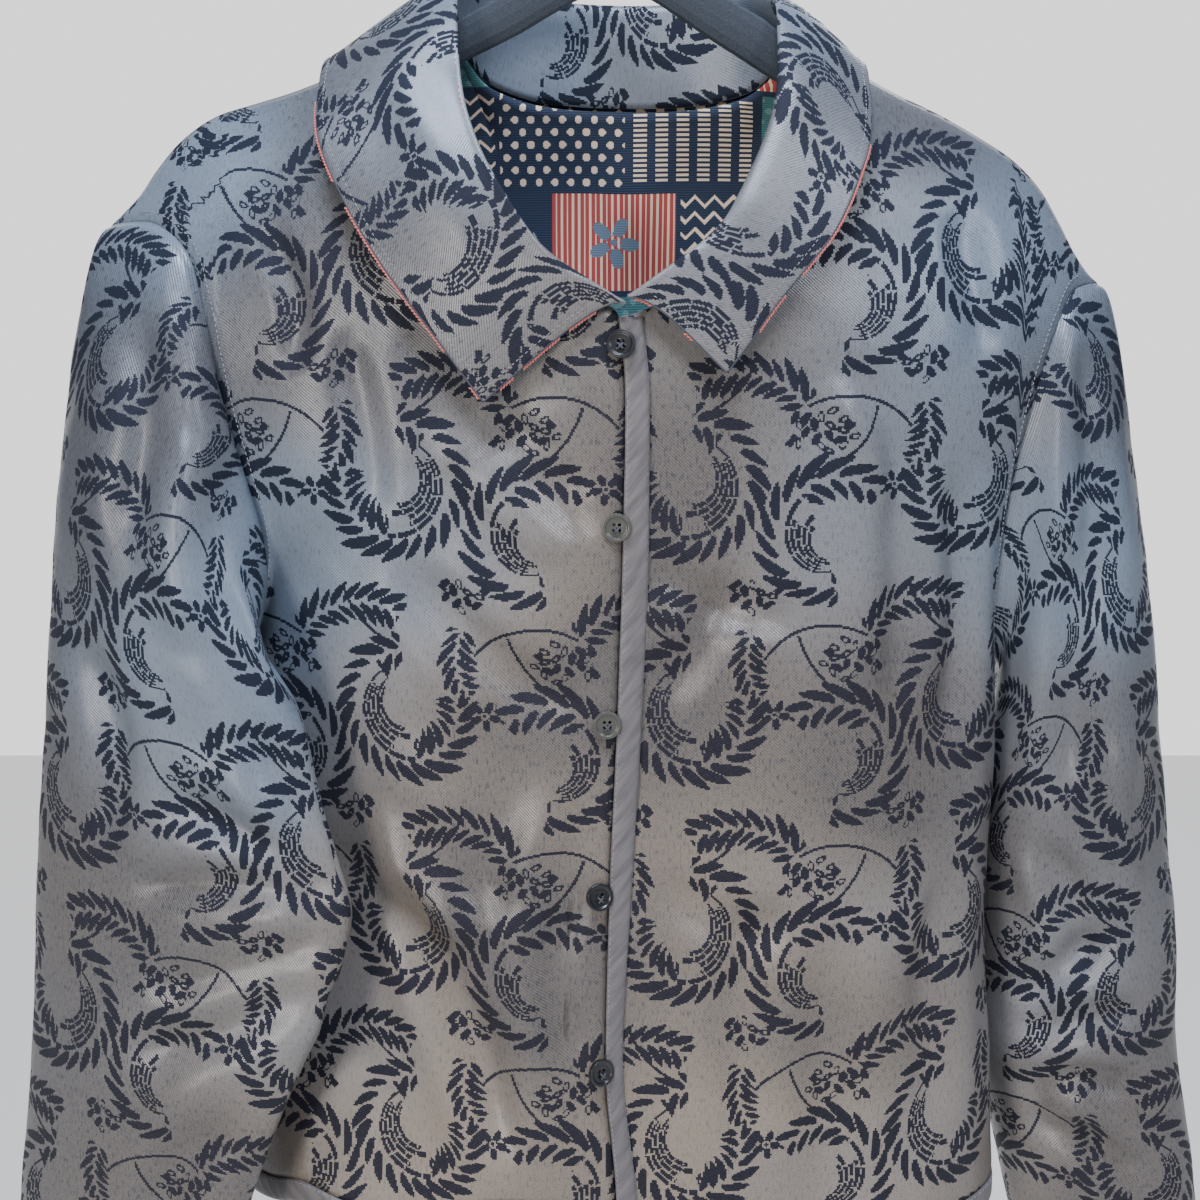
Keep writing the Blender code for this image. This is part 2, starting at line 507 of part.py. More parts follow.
def collar_foot(places):
    """The collar's lower edge at the stations, just inside the neck seam."""
    seam = neck_seam()
    walked = np.concatenate([[0], np.cumsum(np.linalg.norm(np.diff(seam, axis=0), axis=1))])
    stops = []
    behind = 0
    for x, z in COLLAR["neck"]:
        far = np.hypot(seam[behind:, 0] - x, seam[behind:, 2] - z)
        far = np.where(walked[behind:] - walked[behind] < 0.08, far, 1.0)
        behind = behind + int(np.argmin(far))
        stops.append(walked[behind])
    found = np.interp(places, np.linspace(0, 1, len(stops)), stops)
    foot = np.stack([np.interp(found, walked, seam[:, axis]) for axis in range(3)], axis=1)
    away = np.stack([-foot[:, 0], np.zeros(len(foot)), -0.06 - foot[:, 2]], axis=1)
    away = away / np.linalg.norm(away, axis=1, keepdims=True)
    reach = COLLAR_RISE + COLLAR_SHOULDER_ROOM * np.exp(-((foot[:, 1:2] / 0.025) ** 2))
    foot[:, 1] -= np.clip(foot[:, 1], -COLLAR_SET_IN, COLLAR_SET_IN)
    return foot + away * reach


def collar():
    """Grid of the collar: stations along the neck seam, steps from the seam over the roll to the edge."""
    stops = np.linspace(0, 1, len(COLLAR["neck"]))
    places = np.linspace(0, 1, COLLAR_STATIONS + 1)
    neck = collar_foot(places)
    roll = catmull(stops, np.array(COLLAR["roll"]), places)
    edge = catmull(stops, np.array(COLLAR["edge"]), places)
    steps = np.linspace(0, 1, COLLAR_STEPS + 1)
    grid = np.zeros((COLLAR_STATIONS + 1, COLLAR_STEPS + 1, 3))
    up = np.array([0.0, 0.0, 1.0])
    for station in range(COLLAR_STATIONS + 1):
        out = edge[station] - roll[station]
        out[2] = 0.0
        out = out / np.linalg.norm(out)
        rise = np.linalg.norm(roll[station] - neck[station])
        stand = [neck[station], neck[station] + up * 0.5 * rise,
                 roll[station] - out * COLLAR_INNER_ROUND, roll[station]]
        fall = [roll[station], roll[station] + out * COLLAR_OUTER_ROUND,
                edge[station] + (roll[station] - edge[station]) * 0.4 + out * 0.004, edge[station]]
        share = np.clip(rise / (rise + np.linalg.norm(edge[station] - roll[station])), 0.15, 0.5)
        for step, place in enumerate(steps):
            if place <= share:
                grid[station, step] = bezier(stand, place / share)
            else:
                grid[station, step] = bezier(fall, (place - share) / (1 - share))
    return grid


def bezier(points, t):
    a, b, c, d = points
    return a * (1 - t) ** 3 + 3 * b * t * (1 - t) ** 2 + 3 * c * t * t * (1 - t) + d * t**3


def front_binding():
    """Grid of the binding down the buttoned edge: rows from the neck down, columns from seam to edge."""
    low = float(read(HEM, "x", "front", 0.0)) - 0.0135
    z = np.linspace(-0.2640, low, PANEL_ROWS - NECK_ROWS + 2)
    seam = read(CENTRE, "z", "binding seam", z)
    edge = read(CENTRE, "z", "binding edge", z)
    columns = []
    for part, raised in ((0.0, 0.0004), (0.35, 0.0007), (0.7, 0.0006), (1.0, -0.0002)):
        x = seam + (edge - seam) * part + 0.5 * SEAM_GAP
        columns.append(on_body("front", x, z, OVERLAP_LIFT + raised))
    return np.stack(columns, axis=1)


def hem_binding(edge_points, face):
    """Grid of the binding below a lower edge: the edge's own points, then two rows down."""
    rows = []
    for drop, raised in ((0.0, 0.0), (0.0070, 0.0006), (0.0135, -0.0002)):
        x = edge_points[:, 0] + np.sign(edge_points[:, 0]) * 0.02 * drop * np.abs(edge_points[:, 0]) / 0.22
        z = edge_points[:, 2] - drop
        row = edge_points.copy()
        way = -1 if face == "front" else 1
        row[:, 2] = z
        row[:, 0] = x
        row[:, 1] = row[:, 1] + way * raised * np.clip(np.abs(row[:, 1]) / 0.02, 0, 1)
        rows.append(row)
    return np.stack(rows)


def grid_normals(grid, closed, flipped):
    """Outward directions at the grid's points."""
    down = np.gradient(grid, axis=0)
    if closed:
        wide = np.roll(grid, -1, axis=1) - np.roll(grid, 1, axis=1)
    else:
        wide = np.gradient(grid, axis=1)
    normals = np.cross(down, wide)
    normals = normals / np.maximum(np.linalg.norm(normals, axis=2, keepdims=True), 1e-12)
    return -normals if flipped else normals


def border(shape, closed):
    """Index pairs of the points round a grid's open edges."""
    rows, columns = shape
    found = [(0, j) for j in range(columns)] + [(rows - 1, j) for j in range(columns)]
    if not closed:
        found += [(i, 0) for i in range(1, rows - 1)] + [(i, columns - 1) for i in range(1, rows - 1)]
    return found


def share_seam_normals(pieces):
    """Gives the points that pieces share one direction, so that their walls meet without crossing."""
    sums = {}
    for piece in pieces:
        for i, j in border(piece["grid"].shape[:2], piece["closed"]):
            key = tuple(np.round(piece["grid"][i, j], 5))
            sums[key] = sums.get(key, 0) + piece["normals"][i, j]
    for piece in pieces:
        for i, j in border(piece["grid"].shape[:2], piece["closed"]):
            total = sums[tuple(np.round(piece["grid"][i, j], 5))]
            length = np.linalg.norm(total)
            if length > 0.3:
                piece["normals"][i, j] = total / length


def draw_in(grid, closed, amount):
    """Moves the open edges in along the cloth, which leaves the gap at a seam."""
    moved = grid.copy()
    for this, inside in ((0, 1), (-1, -2)):
        step = grid[inside] - grid[this]
        moved[this] += amount * step / np.linalg.norm(step, axis=1, keepdims=True)
    if not closed:
        for this, inside in ((0, 1), (-1, -2)):
            step = grid[:, inside] - grid[:, this]
            moved[:, this] += amount * step / np.linalg.norm(step, axis=1, keepdims=True)
    return moved


def finish_of(name):
    """The finish's material, made the first time that it is asked for."""
    made = bpy.data.materials.get(name)
    if made:
        return made
    colour, roughness, metallic = FINISHES[name]
    made = bpy.data.materials.new(name)
    made.use_nodes = True
    shader = made.node_tree.nodes["Principled BSDF"]
    shader.inputs["Base Color"].default_value = (*colour, 1.0)
    shader.inputs["Roughness"].default_value = roughness
    shader.inputs["Metallic"].default_value = metallic
    made.diffuse_color = (*colour, 1.0)
    return made


def place(name, data, finish):
    """Puts a new object in the jacket's collection, with its finish."""
    made = bpy.data.objects.new(name, data)
    data.materials.append(finish_of(finish))
    bpy.data.collections["jacket"].objects.link(made)
    return made


def make_mesh(name, points, faces, finish, smooth=True):
    mesh = bpy.data.meshes.new(name)
    mesh.from_pydata([tuple(map(float, point)) for point in points], [], faces)
    if smooth:
        mesh.shade_smooth()
        mesh.set_sharp_from_angle(angle=np.radians(50))
    mesh.update()
    return place(name, mesh, finish)


def make_shell(piece):
    """A closed thin wall: the grid is its outer face, and its inner face lies the wall's width inside."""
    grid = draw_in(piece["grid"], piece["closed"], SEAM_GAP / 2)
    inside = grid - piece["normals"] * piece["wall"]
    rows, columns = grid.shape[:2]
    points = np.concatenate([grid.reshape(-1, 3), inside.reshape(-1, 3)])
    layer = rows * columns
    faces = []
    last = columns if piece["closed"] else columns - 1
    for i in range(rows - 1):
        for j in range(last):
            k = (j + 1) % columns
            a, b, c, d = i * columns + j, (i + 1) * columns + j, (i + 1) * columns + k, i * columns + k
            faces.append((a, b, c, d))
            faces.append((d + layer, c + layer, b + layer, a + layer))
    for j in range(last):
        k = (j + 1) % columns
        low = (rows - 1) * columns
        faces.append((j, k, k + layer, j + layer))
        faces.append((low + k, low + j, low + j + layer, low + k + layer))
    if not piece["closed"]:
        for i in range(rows - 1):
            a, b = i * columns, (i + 1) * columns
            c, d = a + columns - 1, b + columns - 1
            faces.append((b, a, a + layer, b + layer))
            faces.append((c, d, d + layer, c + layer))
    if piece["flipped"]:
        faces = [face[::-1] for face in faces]
    return make_mesh(piece["name"], points, faces, piece["finish"])


def cloth_piece(name, grid, wall, finish, closed=False, flipped=False):
    return {"name": name, "grid": grid, "wall": wall, "finish": finish, "closed": closed, "flipped": flipped,
            "normals": grid_normals(grid, closed, flipped)}


def level_foot(piece):
    """Keeps the collar's lower edge square to the panels that it stands on."""
    foot = piece["normals"][:, 0]
    foot[:, 2] = 0.0
    piece["normals"][:, 0] = foot / np.linalg.norm(foot, axis=1, keepdims=True)


def build_cloth():
    right_front = front_panel("left")
    left_front = front_panel("right")
    back = back_panel(right_front, left_front)
    hem_right = hem_binding(right_front[-1], "front")
    hem_left = hem_binding(left_front[-1], "front")
    hem_back = hem_binding(back[-1], "back")
    pieces = [
        cloth_piece("front_right", right_front, PANEL_WALL, "shell cloth", flipped=True),
        cloth_piece("front_left", left_front, PANEL_WALL, "shell cloth"),
        cloth_piece("back", back, PANEL_WALL, "shell cloth", flipped=True),
        cloth_piece("sleeve_right", sleeve("left"), SLEEVE_WALL, "sleeve cloth", closed=True),
        cloth_piece("sleeve_left", sleeve("right"), SLEEVE_WALL, "sleeve cloth", closed=True, flipped=True),
        cloth_piece("hem_binding_front_right", hem_right, BINDING_WALL, "binding", flipped=True),
        cloth_piece("hem_binding_front_left", hem_left, BINDING_WALL, "binding"),
        cloth_piece("hem_binding_back", hem_back, BINDING_WALL, "binding", flipped=True),
    ]
    share_seam_normals(pieces)
    pieces.append(cloth_piece("front_binding", front_binding(), BINDING_WALL, "binding"))
    pieces.append(cloth_piece("collar", collar(), COLLAR_WALL, "collar cloth"))
    level_foot(pieces[-1])
    for piece in pieces:
        make_shell(piece)


def button_axes(button):
    """Where a button's underside rests, with the direction that it faces."""
    x, z = button["x"], button["z"]
    here = on_body("front", x, z, float(overlap_lift(x)))
    right = on_body("front", x + 0.004, z, float(overlap_lift(x))) - here
    above = on_body("front", x, z + 0.004, float(overlap_lift(x))) - here
    out = np.cross(right, above)
    out = out / np.linalg.norm(out)
    right = right / np.linalg.norm(right)
    above = np.cross(out, right)
    lean, turn = np.radians(button["lean"]), np.radians(button["turn"])
    axis = out * np.cos(lean) * np.cos(turn) + above * np.sin(lean) + right * np.sin(turn)
    axis = axis / np.linalg.norm(axis)
    tilt = np.arccos(np.clip(np.dot(axis, out), -1, 1))
    return here + out * (button["seat"] + BUTTON_RADIUS * np.sin(tilt)), axis, above


def build_buttons():
    """Round buttons with a raised rim, each a turned section, resting on the buttoned front."""
    section = bpy.data.meshes.new("button section")
    points = [(part * BUTTON_RADIUS, 0.0, height * BUTTON_THICKNESS) for part, height in BUTTON_PROFILE]
    section.from_pydata(points, [(i, i + 1) for i in range(len(points) - 1)], [])
    for number, button in enumerate(BUTTONS, 1):
        foot, axis, above = button_axes(button)
        first = np.cross(above, axis)
        first = first / np.linalg.norm(first)
        second = np.cross(axis, first)
        made = place(f"button_{number}", section.copy(), "button")
        made.rotation_euler = Matrix(np.stack([first, second, axis], axis=1).tolist()).to_euler()
        made.location = foot
        turned = made.modifiers.new("Turned section", "SCREW")
        turned.steps = BUTTON_STEPS
        turned.render_steps = BUTTON_STEPS
        turned.use_merge_vertices = True
        turned.merge_threshold = 0.0001


def build_hanger():
    """The bar: an oval section carried along the arms."""
    x = np.concatenate([np.linspace(-0.2185, -0.200, 4), np.linspace(-0.185, 0.185, 27), np.linspace(0.200, 0.2185, 4)])
    z = read(HANGER, "x", "z", x)
    height = read(HANGER, "x", "height", x)
    slope = np.gradient(z, x)
    sides = 12
    points = []
    for place, level, tall, lean in zip(x, z, height, slope):
        upright = np.array([-lean, 0.0, 1.0]) / np.hypot(lean, 1.0)
        for k in range(sides):
            angle = 2 * np.pi * k / sides
            reach = upright * np.cos(angle) * tall / 2
            points.append(np.array([place, HANGER_THICKNESS / 2 * np.sin(angle), level]) + reach)
    faces = []
    for i in range(len(x) - 1):
        for k in range(sides):
            following = (k + 1) % sides
            a, b = i * sides + k, i * sides + following
            faces.append((b, a, a + sides, b + sides))
    faces.append(tuple(range(sides)))
    faces.append(tuple((len(x) - 1) * sides + k for k in reversed(range(sides))))
    make_mesh("hanger", points, faces, "velvet bar")


def build_hook():
    """The wire hook, a round wire carried along its line."""
    wire = bpy.data.curves.new("hanger_hook", "CURVE")
    wire.dimensions = "3D"
    wire.bevel_depth = WIRE_RADIUS
    wire.bevel_resolution = 2
    wire.use_fill_caps = True
    line = smooth_path(HOOK, HOOK_STEPS)
    spline = wire.splines.new("POLY")
    spline.points.add(len(line) - 1)
    for point, (x, z) in zip(spline.points, line):
        point.co = (x, 0.0, z, 1.0)
    place("hanger_hook", wire, "steel wire")


def main():
    for startup in list(bpy.data.objects):
        bpy.data.objects.remove(startup)
    bpy.context.scene.collection.children.link(bpy.data.collections.new("jacket"))
    build_cloth()
    build_buttons()
    build_hanger()
    build_hook()


main()
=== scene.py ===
# Reversible jacquard jacket on a velvet hanger. Metres, front towards -Y, origin in the hanger's hook.
import math
import bpy
import numpy as np
from mathutils import Matrix, Vector, noise


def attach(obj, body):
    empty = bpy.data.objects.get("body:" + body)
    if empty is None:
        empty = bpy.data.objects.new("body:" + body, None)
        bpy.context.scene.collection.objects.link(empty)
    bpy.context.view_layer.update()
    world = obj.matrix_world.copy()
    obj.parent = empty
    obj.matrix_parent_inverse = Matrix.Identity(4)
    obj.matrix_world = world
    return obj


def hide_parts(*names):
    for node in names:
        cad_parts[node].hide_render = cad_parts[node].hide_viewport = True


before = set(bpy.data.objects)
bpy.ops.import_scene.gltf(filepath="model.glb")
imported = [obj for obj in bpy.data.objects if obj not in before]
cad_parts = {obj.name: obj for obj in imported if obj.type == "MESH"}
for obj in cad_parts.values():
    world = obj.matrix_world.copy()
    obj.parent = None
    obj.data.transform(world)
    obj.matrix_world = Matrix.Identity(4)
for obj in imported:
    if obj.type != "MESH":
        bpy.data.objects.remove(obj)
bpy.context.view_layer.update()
print("frame loaded")

# The photograph's view: a long lens close to the collar's height, looking down a little.
view = {"place": (-0.0098, -1.048, -0.205), "down": 12, "lens": 56.61, "sensor": 36.0}
camera = bpy.data.objects.new("camera", bpy.data.cameras.new("camera"))
camera.data.lens = view["lens"]
camera.data.sensor_width = view["sensor"]
camera.data.clip_start = 0.01
camera.location = view["place"]
camera.rotation_euler = (math.radians(90 - view["down"]), 0, 0)
bpy.context.scene.collection.objects.link(camera)
bpy.context.scene.camera = camera

seamGap = 0.0005
liftOverlap = 0.0036
sleeveRoom = 0.0022
sideRoundness = 2.4
armholeRows = 10
neckRows = 8
panelRows = 24
frontColumns = 10
backNeckColumns = 12
sleeveRings = 19
collarStations = 32
collarSteps = 9
buttonRadius = 0.0075
buttonThickness = 0.0028

# A table in millimetres as metres
def metres(table):
    if isinstance(table, dict):
        return {name: metres(part) for name, part in table.items()}
    return [metres(part) for part in table] if isinstance(table, (list, tuple)) else table / 1000

# Half widths and depths of the hanging body, measured from the hanger's middle plane
bodySize = metres({
    "z": [-860, -780, -700, -600, -520, -450, -380, -320, -260, -210, -160, -90],
    "left": [226, 224, 220, 215, 212, 212, 224, 245, 272, 292, 304, 304],
    "right": [230, 227, 222, 215, 217, 214, 222, 240, 270, 288, 300, 300],
    "front": [90, 87, 84, 80, 77, 75, 74, 73, 71, 69, 66, 62],
    "back": [68, 66, 63, 60, 58, 57, 57, 57, 56, 55, 53, 51],
})

# The top line of the shoulders, which lies over the hanger. It is tilted a little, as it hangs.
shoulderLine = metres({
    "x": [-300, -277, -263, -249, -235, -221, -194, -168, -140, -95, -60, 0, 60, 97, 130, 151, 179, 206,
          220, 235, 250, 264, 290],
    "z": [-250, -218, -203, -186, -172, -162, -153, -145, -133, -110.5, -102, -100, -107, -122, -138, -149,
          -162, -178, -188, -205, -228, -249, -290],
})

# How much of its full depth the cloth has reached at a distance in metres below the shoulder line
shoulderFall = {
    "below": [0.0, 0.003, 0.010, 0.030, 0.060, 0.100, 0.150, 0.200],
    "front": [0.0, 0.10, 0.21, 0.44, 0.69, 0.88, 0.98, 1.0],
    "back": [0.0, 0.12, 0.27, 0.62, 0.96, 1.0, 1.0, 1.0],
}

# Armhole seams from the shoulder tip to the underarm, as (x, z) seen from the front
armholeLines = metres({
    "left front": [(-277, -218), (-263, -216), (-247, -217.5), (-233.5, -225), (-224, -243),
                   (-216.5, -273.5), (-209.5, -311), (-201.5, -343), (-193, -374), (-189, -402),
                   (-193.5, -427), (-203, -444), (-212, -452)],
    "left back": [(-277, -218), (-263, -216), (-250, -224), (-240, -250), (-229, -300), (-219, -350),
                  (-212, -402), (-212, -452)],
    "right front": [(264, -249), (254, -247), (244, -258), (232, -282), (223, -315), (216, -350),
                    (212, -395), (211, -435), (214.2, -460)],
    "right back": [(264, -249), (253, -249), (243, -265), (234, -300), (225, -345), (216.5, -390),
                   (212.5, -430), (214.2, -460)],
})

# Neck seams, as (x, z) seen from the front. The front ones run from the shoulder to the centre.
neckLines = metres({
    "left": [(-95, -110.5), (-101, -138), (-99, -165), (-88, -195), (-70, -220), (-45, -241), (-20, -254.5),
             (-1, -262)],
    "right": [(97, -122), (102, -150), (99, -175), (88, -203), (70, -226), (45, -245), (15, -260),
              (-18, -270)],
    "back": [(-95, -110.5), (-80, -138), (-55, -151), (-25, -156), (0, -157), (25, -157), (55, -154),
             (82, -144), (97, -122)],
})

# The front edges by height: the seam of the bound edge, its outer edge, and the hidden edge below it
frontEdges = metres({
    "z": [-800, -755, -672, -573, -478, -374, -306, -262],
    "binding seam": [-1, -1, -7, -5, -1, 2, 3, -1],
    "binding edge": [11, 10, 2, 6.5, 11.5, 15, 15, 11],
    "under edge": [-26, -26, -30, -27, -23, -20, -19, -18],
})

# Lower edge of the cloth, by x
lowerEdge = metres({
    "x": [-230, -200, -184, -165, -120, -80, -54, -30, 0, 50, 100, 150, 190, 230],
    "front": [-764, -760, -755, -762, -770, -760, -748, -757, -764, -772, -768, -776, -776, -772],
    "back": [-764, -766, -768, -770, -768, -772, -774, -772, -770, -773, -775, -773, -772, -772],
})

# Soft troughs (negative) and ridges: the start's x and z, the end's x and z, the width and the depth
bodyFolds = metres({
    "front": [(-205, -400, -150, -800, 50, -26), (172, -300, 185, -660, 20, -11),
              (198, -360, 200, -720, 12, 5), (-20, -335, -95, -300, 16, -4),
              (130, -600, 118, -840, 24, -10), (70, -630, 60, -840, 26, 7), (-54, -660, -54, -840, 20, 7),
              (-110, -620, -115, -840, 24, -9), (-184, -660, -184, -840, 18, 7),
              (-150, -220, -165, -420, 28, 5)],
    "back": [(-140, -300, -150, -840, 26, -10), (-70, -450, -65, -840, 28, 8), (10, -520, 0, -840, 24, -9),
             (85, -420, 80, -840, 30, 8), (150, -400, 185, -840, 45, -18)],
})

# Sleeves, ring by ring below the armhole: the outer and inner end, and how far the two faces stand off
sleeveShapes = metres({
    "left": {
        "outer": [(-277, 0, -218), (-288, -4, -234), (-298, -10, -285), (-305, -14, -340),
                  (-309, -18, -395), (-316, -20, -452), (-322, -22, -510), (-329, -24, -570),
                  (-334, -26, -631), (-340, -28, -693), (-348, -28, -757), (-355, -28, -828)],
        "inner": [(-212, 0, -452), (-219, -26, -462), (-208, -50, -464), (-189, -68, -462),
                  (-174, -80, -470), (-164, -87, -496), (-154, -91, -540), (-143.5, -94, -582),
                  (-156.5, -94, -626), (-176.5, -91, -678), (-204.5, -86, -748), (-220, -82, -836)],
        "front": [50, 56, 52, 44, 37, 30, 26, 24, 24, 22, 20, 20],
        "back": [45, 50, 48, 44, 38, 30, 22, 18, 18, 18, 18, 18],
        "front rise": [(0, 0, 0), (6, -15, 0), (5, -28, -2), (-4, -37, -8)],
        "back rise": [(0, 0, 0), (-10, 5, -2), (-21, 9, -6), (-32, 12, -12)],
        "overhang": [(0, 0, 0), (11, -10, 1), (22, -6, -2), (18, -2, -2), (6, 0, 0), (0, 0, 0)],
    },
    "right": {
        "outer": [(264, 0, -249), (272, 0, -262), (279, 0, -300), (287, 0, -345), (297, -2, -400),
                  (307, -2, -458), (315, -2, -517), (323, -2, -578), (331, -2, -640), (334, -2, -700),
                  (348, -2, -768), (357, 0, -836)],
        "inner": [(214.2, 0, -460), (220, 10, -472), (219, 20, -486), (216, 28, -506), (212.5, 34, -532),
                  (210, 37, -562), (209, 39, -596), (211, 40, -636), (216, 40, -676), (222, 40, -722),
                  (238, 38, -780), (251, 34, -840)],
        "front": [50, 52, 50, 48, 46, 44, 42, 40, 38, 36, 34, 32],
        "back": [46, 50, 50, 48, 46, 44, 42, 40, 38, 36, 34, 32],
        "front rise": [(0, 0, 0), (11, -5, -2), (23, -8, -6), (36, -10, -12)],
        "back rise": [(0, 0, 0), (9, 8, -2), (20, 14, -6), (32, 18, -12)],
        "overhang": [(0, 0, 0)] * 6,
    },
})
sleeveFullness = {"left": 0.9, "right": 1.05}

# Collar sections from the front end of the left leaf round the back to the front end of the right leaf.
# Each has its neck seam point, the top of its roll and its outer edge.
collarShape = metres({
    "neck": [(-1, -262), (-20, -254.5), (-45, -241), (-70, -220), (-88, -195), (-99, -165), (-101, -138),
             (-95, -110.5), (-80, -138), (-40, -154), (0, -157), (40, -156), (82, -144), (97, -122),
             (102, -150), (99, -175), (88, -203), (70, -226), (45, -245), (28, -254), (15, -260)],
    "roll": [(1, -81, -256), (-19, -83, -243), (-38, -81, -228), (-56, -76, -206), (-72, -65, -178),
             (-81, -49, -148), (-84, -28, -115), (-83.5, 3, -88), (-70, 34, -89), (-40, 50, -96),
             (0, 55, -99), (38, 51, -98), (68, 37, -95), (84, 3, -100), (83, -26, -127), (80, -48, -160),
             (68, -64, -192), (53, -74, -215), (36, -79, -231), (17, -80.5, -245), (4, -81, -253)],
    "edge": [(-69.5, -83, -306), (-81, -83, -290.5), (-95, -82, -271), (-115, -78, -245), (-135, -70, -214),
             (-151, -56, -183), (-157, -36, -159), (-153, 2, -130), (-120, 50, -152), (-64, 68, -174),
             (0, 72, -180), (60, 70, -176), (110, 48, -160), (130, 2, -132), (131, -40, -166),
             (124, -58, -190), (112, -71, -216), (98, -77, -235), (82, -80, -254), (65, -82, -278),
             (55, -83, -291)],
})
collarSetIn = 0.0022
collarRise = 0.0017
collarShoulderRoom = 0.0024
collarInnerRound = 0.007
collarOuterRound = 0.016

# Buttons by centre, by how far each leans, in degrees, forward at the foot and to the side, and by its seat,
# which is how far its underside stands off the cloth's line.
buttonPlaces = [
    {"x": 0.001, "z": -0.2790, "lean": 14, "turn": -10, "seat": 0.00005},
    {"x": -0.001, "z": -0.3740, "lean": 3, "turn": -4, "seat": 0.00012},
    {"x": -0.006, "z": -0.4800, "lean": 3, "turn": 5, "seat": 0.00062},
    {"x": -0.010, "z": -0.5750, "lean": 7, "turn": 22, "seat": 0.00022},
    {"x": -0.009, "z": -0.6750, "lean": 5, "turn": 30, "seat": 0.00026},
]

# Vectors of length one
def unit(vectors):
    return vectors / np.linalg.norm(vectors, axis=-1, keepdims=True)

# 0 below 0, 1 above 1, with a smooth step between
def ease(value):
    t = np.clip(value, 0, 1)
    return t * t * (3 - 2 * t)

# A smooth line through the points, each reached at its stop with its slope, read at the places
def hermite(stops, points, slopes, places):
    i = np.clip(np.searchsorted(stops, places) - 1, 0, len(stops) - 2)
    gap = stops[i + 1] - stops[i]
    t = (places - stops[i]) / gap
    if points.ndim == 2:
        gap, t = gap[:, None], t[:, None]
    start = (1 + 2 * t) * (1 - t) ** 2 * points[i] + t * (1 - t) ** 2 * gap * slopes[i]
    return start + t * t * (3 - 2 * t) * points[i + 1] + t * t * (t - 1) * gap * slopes[i + 1]

def catmull(stops, points, places):
    points = np.array(points)
    return hermite(stops, points, np.gradient(points, stops, axis=0), places)

# Reads a column of a table at any value of another one, on a smooth line that doesn't overshoot
def read(table, known, wanted, value):
    steps, heights = np.array(table[known], float), np.array(table[wanted], float)
    gaps = np.diff(steps)
    rises = np.diff(heights) / gaps
    before, after = rises[:-1], rises[1:]
    sameWay = before * after > 0
    weightBefore, weightAfter = 2 * gaps[1:] + gaps[:-1], gaps[1:] + 2 * gaps[:-1]
    mean = (weightBefore + weightAfter) / (weightBefore / np.where(sameWay, before, 1.0)
                                           + weightAfter / np.where(sameWay, after, 1.0))
    slopes = np.concatenate([rises[:1], np.where(sameWay, mean, 0.0), rises[-1:]])
    return hermite(steps, heights, slopes, np.clip(np.asarray(value, float), steps[0], steps[-1]))

# Lengths along a line of points, and the line's points at other lengths
def lengthsAlong(points):
    return np.concatenate([[0], np.cumsum(np.linalg.norm(np.diff(points, axis=0), axis=1))])

def pointsAt(stops, lengths, points):
    return np.stack([np.interp(stops, lengths, points[:, axis]) for axis in range(points.shape[1])], axis=1)

# Points spread evenly by length along a smooth line through the given ones
def smoothPath(points, count):
    points = np.array(points, float)
    lengths = lengthsAlong(points)
    fine = catmull(lengths, points, np.linspace(0, lengths[-1], 40 * len(points)))
    lengths = lengthsAlong(fine)
    return pointsAt(np.linspace(0, lengths[-1], count + 1), lengths, fine)

def halfWidth(side, z):
    return read(bodySize, "z", side, z)

def widthAt(x, z):
    return np.where(x < 0, halfWidth("left", z), halfWidth("right", z))

def ridge(x):
    return read(shoulderLine, "x", "z", x)

# How far the cloth's folds stand out from its plain form
def folds(face, x, z):
    total = np.zeros(np.broadcast(x, z).shape)
    for *ends, width, rise in bodyFolds[face]:
        start, run = np.array(ends[:2]), np.array(ends[2:]) - ends[:2]
        length = np.hypot(*run)
        along = ((x - start[0]) * run[0] + (z - start[1]) * run[1]) / length**2
        across = ((x - start[0]) * run[1] - (z - start[1]) * run[0]) / length
        total = total + rise * ease(along * 2.2) * ease((1 - along) * 2.2) * np.exp(-((across / width) ** 2))
    return total

# Distance of the cloth's outer face from the hanger's middle plane
def depth(face, x, z):
    part = np.clip(np.abs(x) / widthAt(x, z), 0, 1)
    across = np.clip(1 - part**sideRoundness, 0, 1) ** (1 / sideRoundness)
    reached = read(shoulderFall, "below", face, np.maximum(ridge(x) - z, 0))
    return (read(bodySize, "z", face, z) + folds(face, x, z)) * across * reached

# Points of the cloth's outer face at a place seen from the front
def onBody(face, x, z, lift=0.0):
    way = -1 if face == "front" else 1
    x, z = np.asarray(x, float), np.asarray(z, float)
    return np.stack([x, way * (depth(face, x, z) + lift), z], axis=-1)

# The buttoned front lies over the other one near the centre
def overlapLift(x):
    return liftOverlap * ease((x + 0.075) / 0.050)

# Armhole seam points from the shoulder tip to the underarm
def armhole(side, face):
    flat = smoothPath(armholeLines[side + " " + face], 200)
    seam = onBody(face, flat[:, 0], flat[:, 1])
    seam[[0, -1], 1] = 0.0
    return smoothPath(seam[::4], armholeRows)

# A panel's outer edge: the armhole, then down to the lower edge on the hanger's middle plane
def outerEdge(side, face):
    way = -1 if side == "left" else 1
    z = np.linspace(armholeLines[side + " front"][-1][1], read(lowerEdge, "x", "front", way * 0.222),
                    panelRows - armholeRows + 1)
    below = np.stack([way * halfWidth(side, z), np.zeros(len(z)), z], axis=1)
    return np.concatenate([armhole(side, face), below[1:]])

# Neck seam, then the centre edge, as (x, z)
def frontInner(side):
    neck = smoothPath(neckLines[side], neckRows)
    edge = "binding seam" if side == "left" else "under edge"
    low = float(read(lowerEdge, "x", "front", neck[-1, 0]))
    z = np.linspace(neck[-1, 1], low, panelRows - neckRows + 1)[1:]
    return np.concatenate([neck, np.stack([read(frontEdges, "z", edge, z), z], axis=1)])

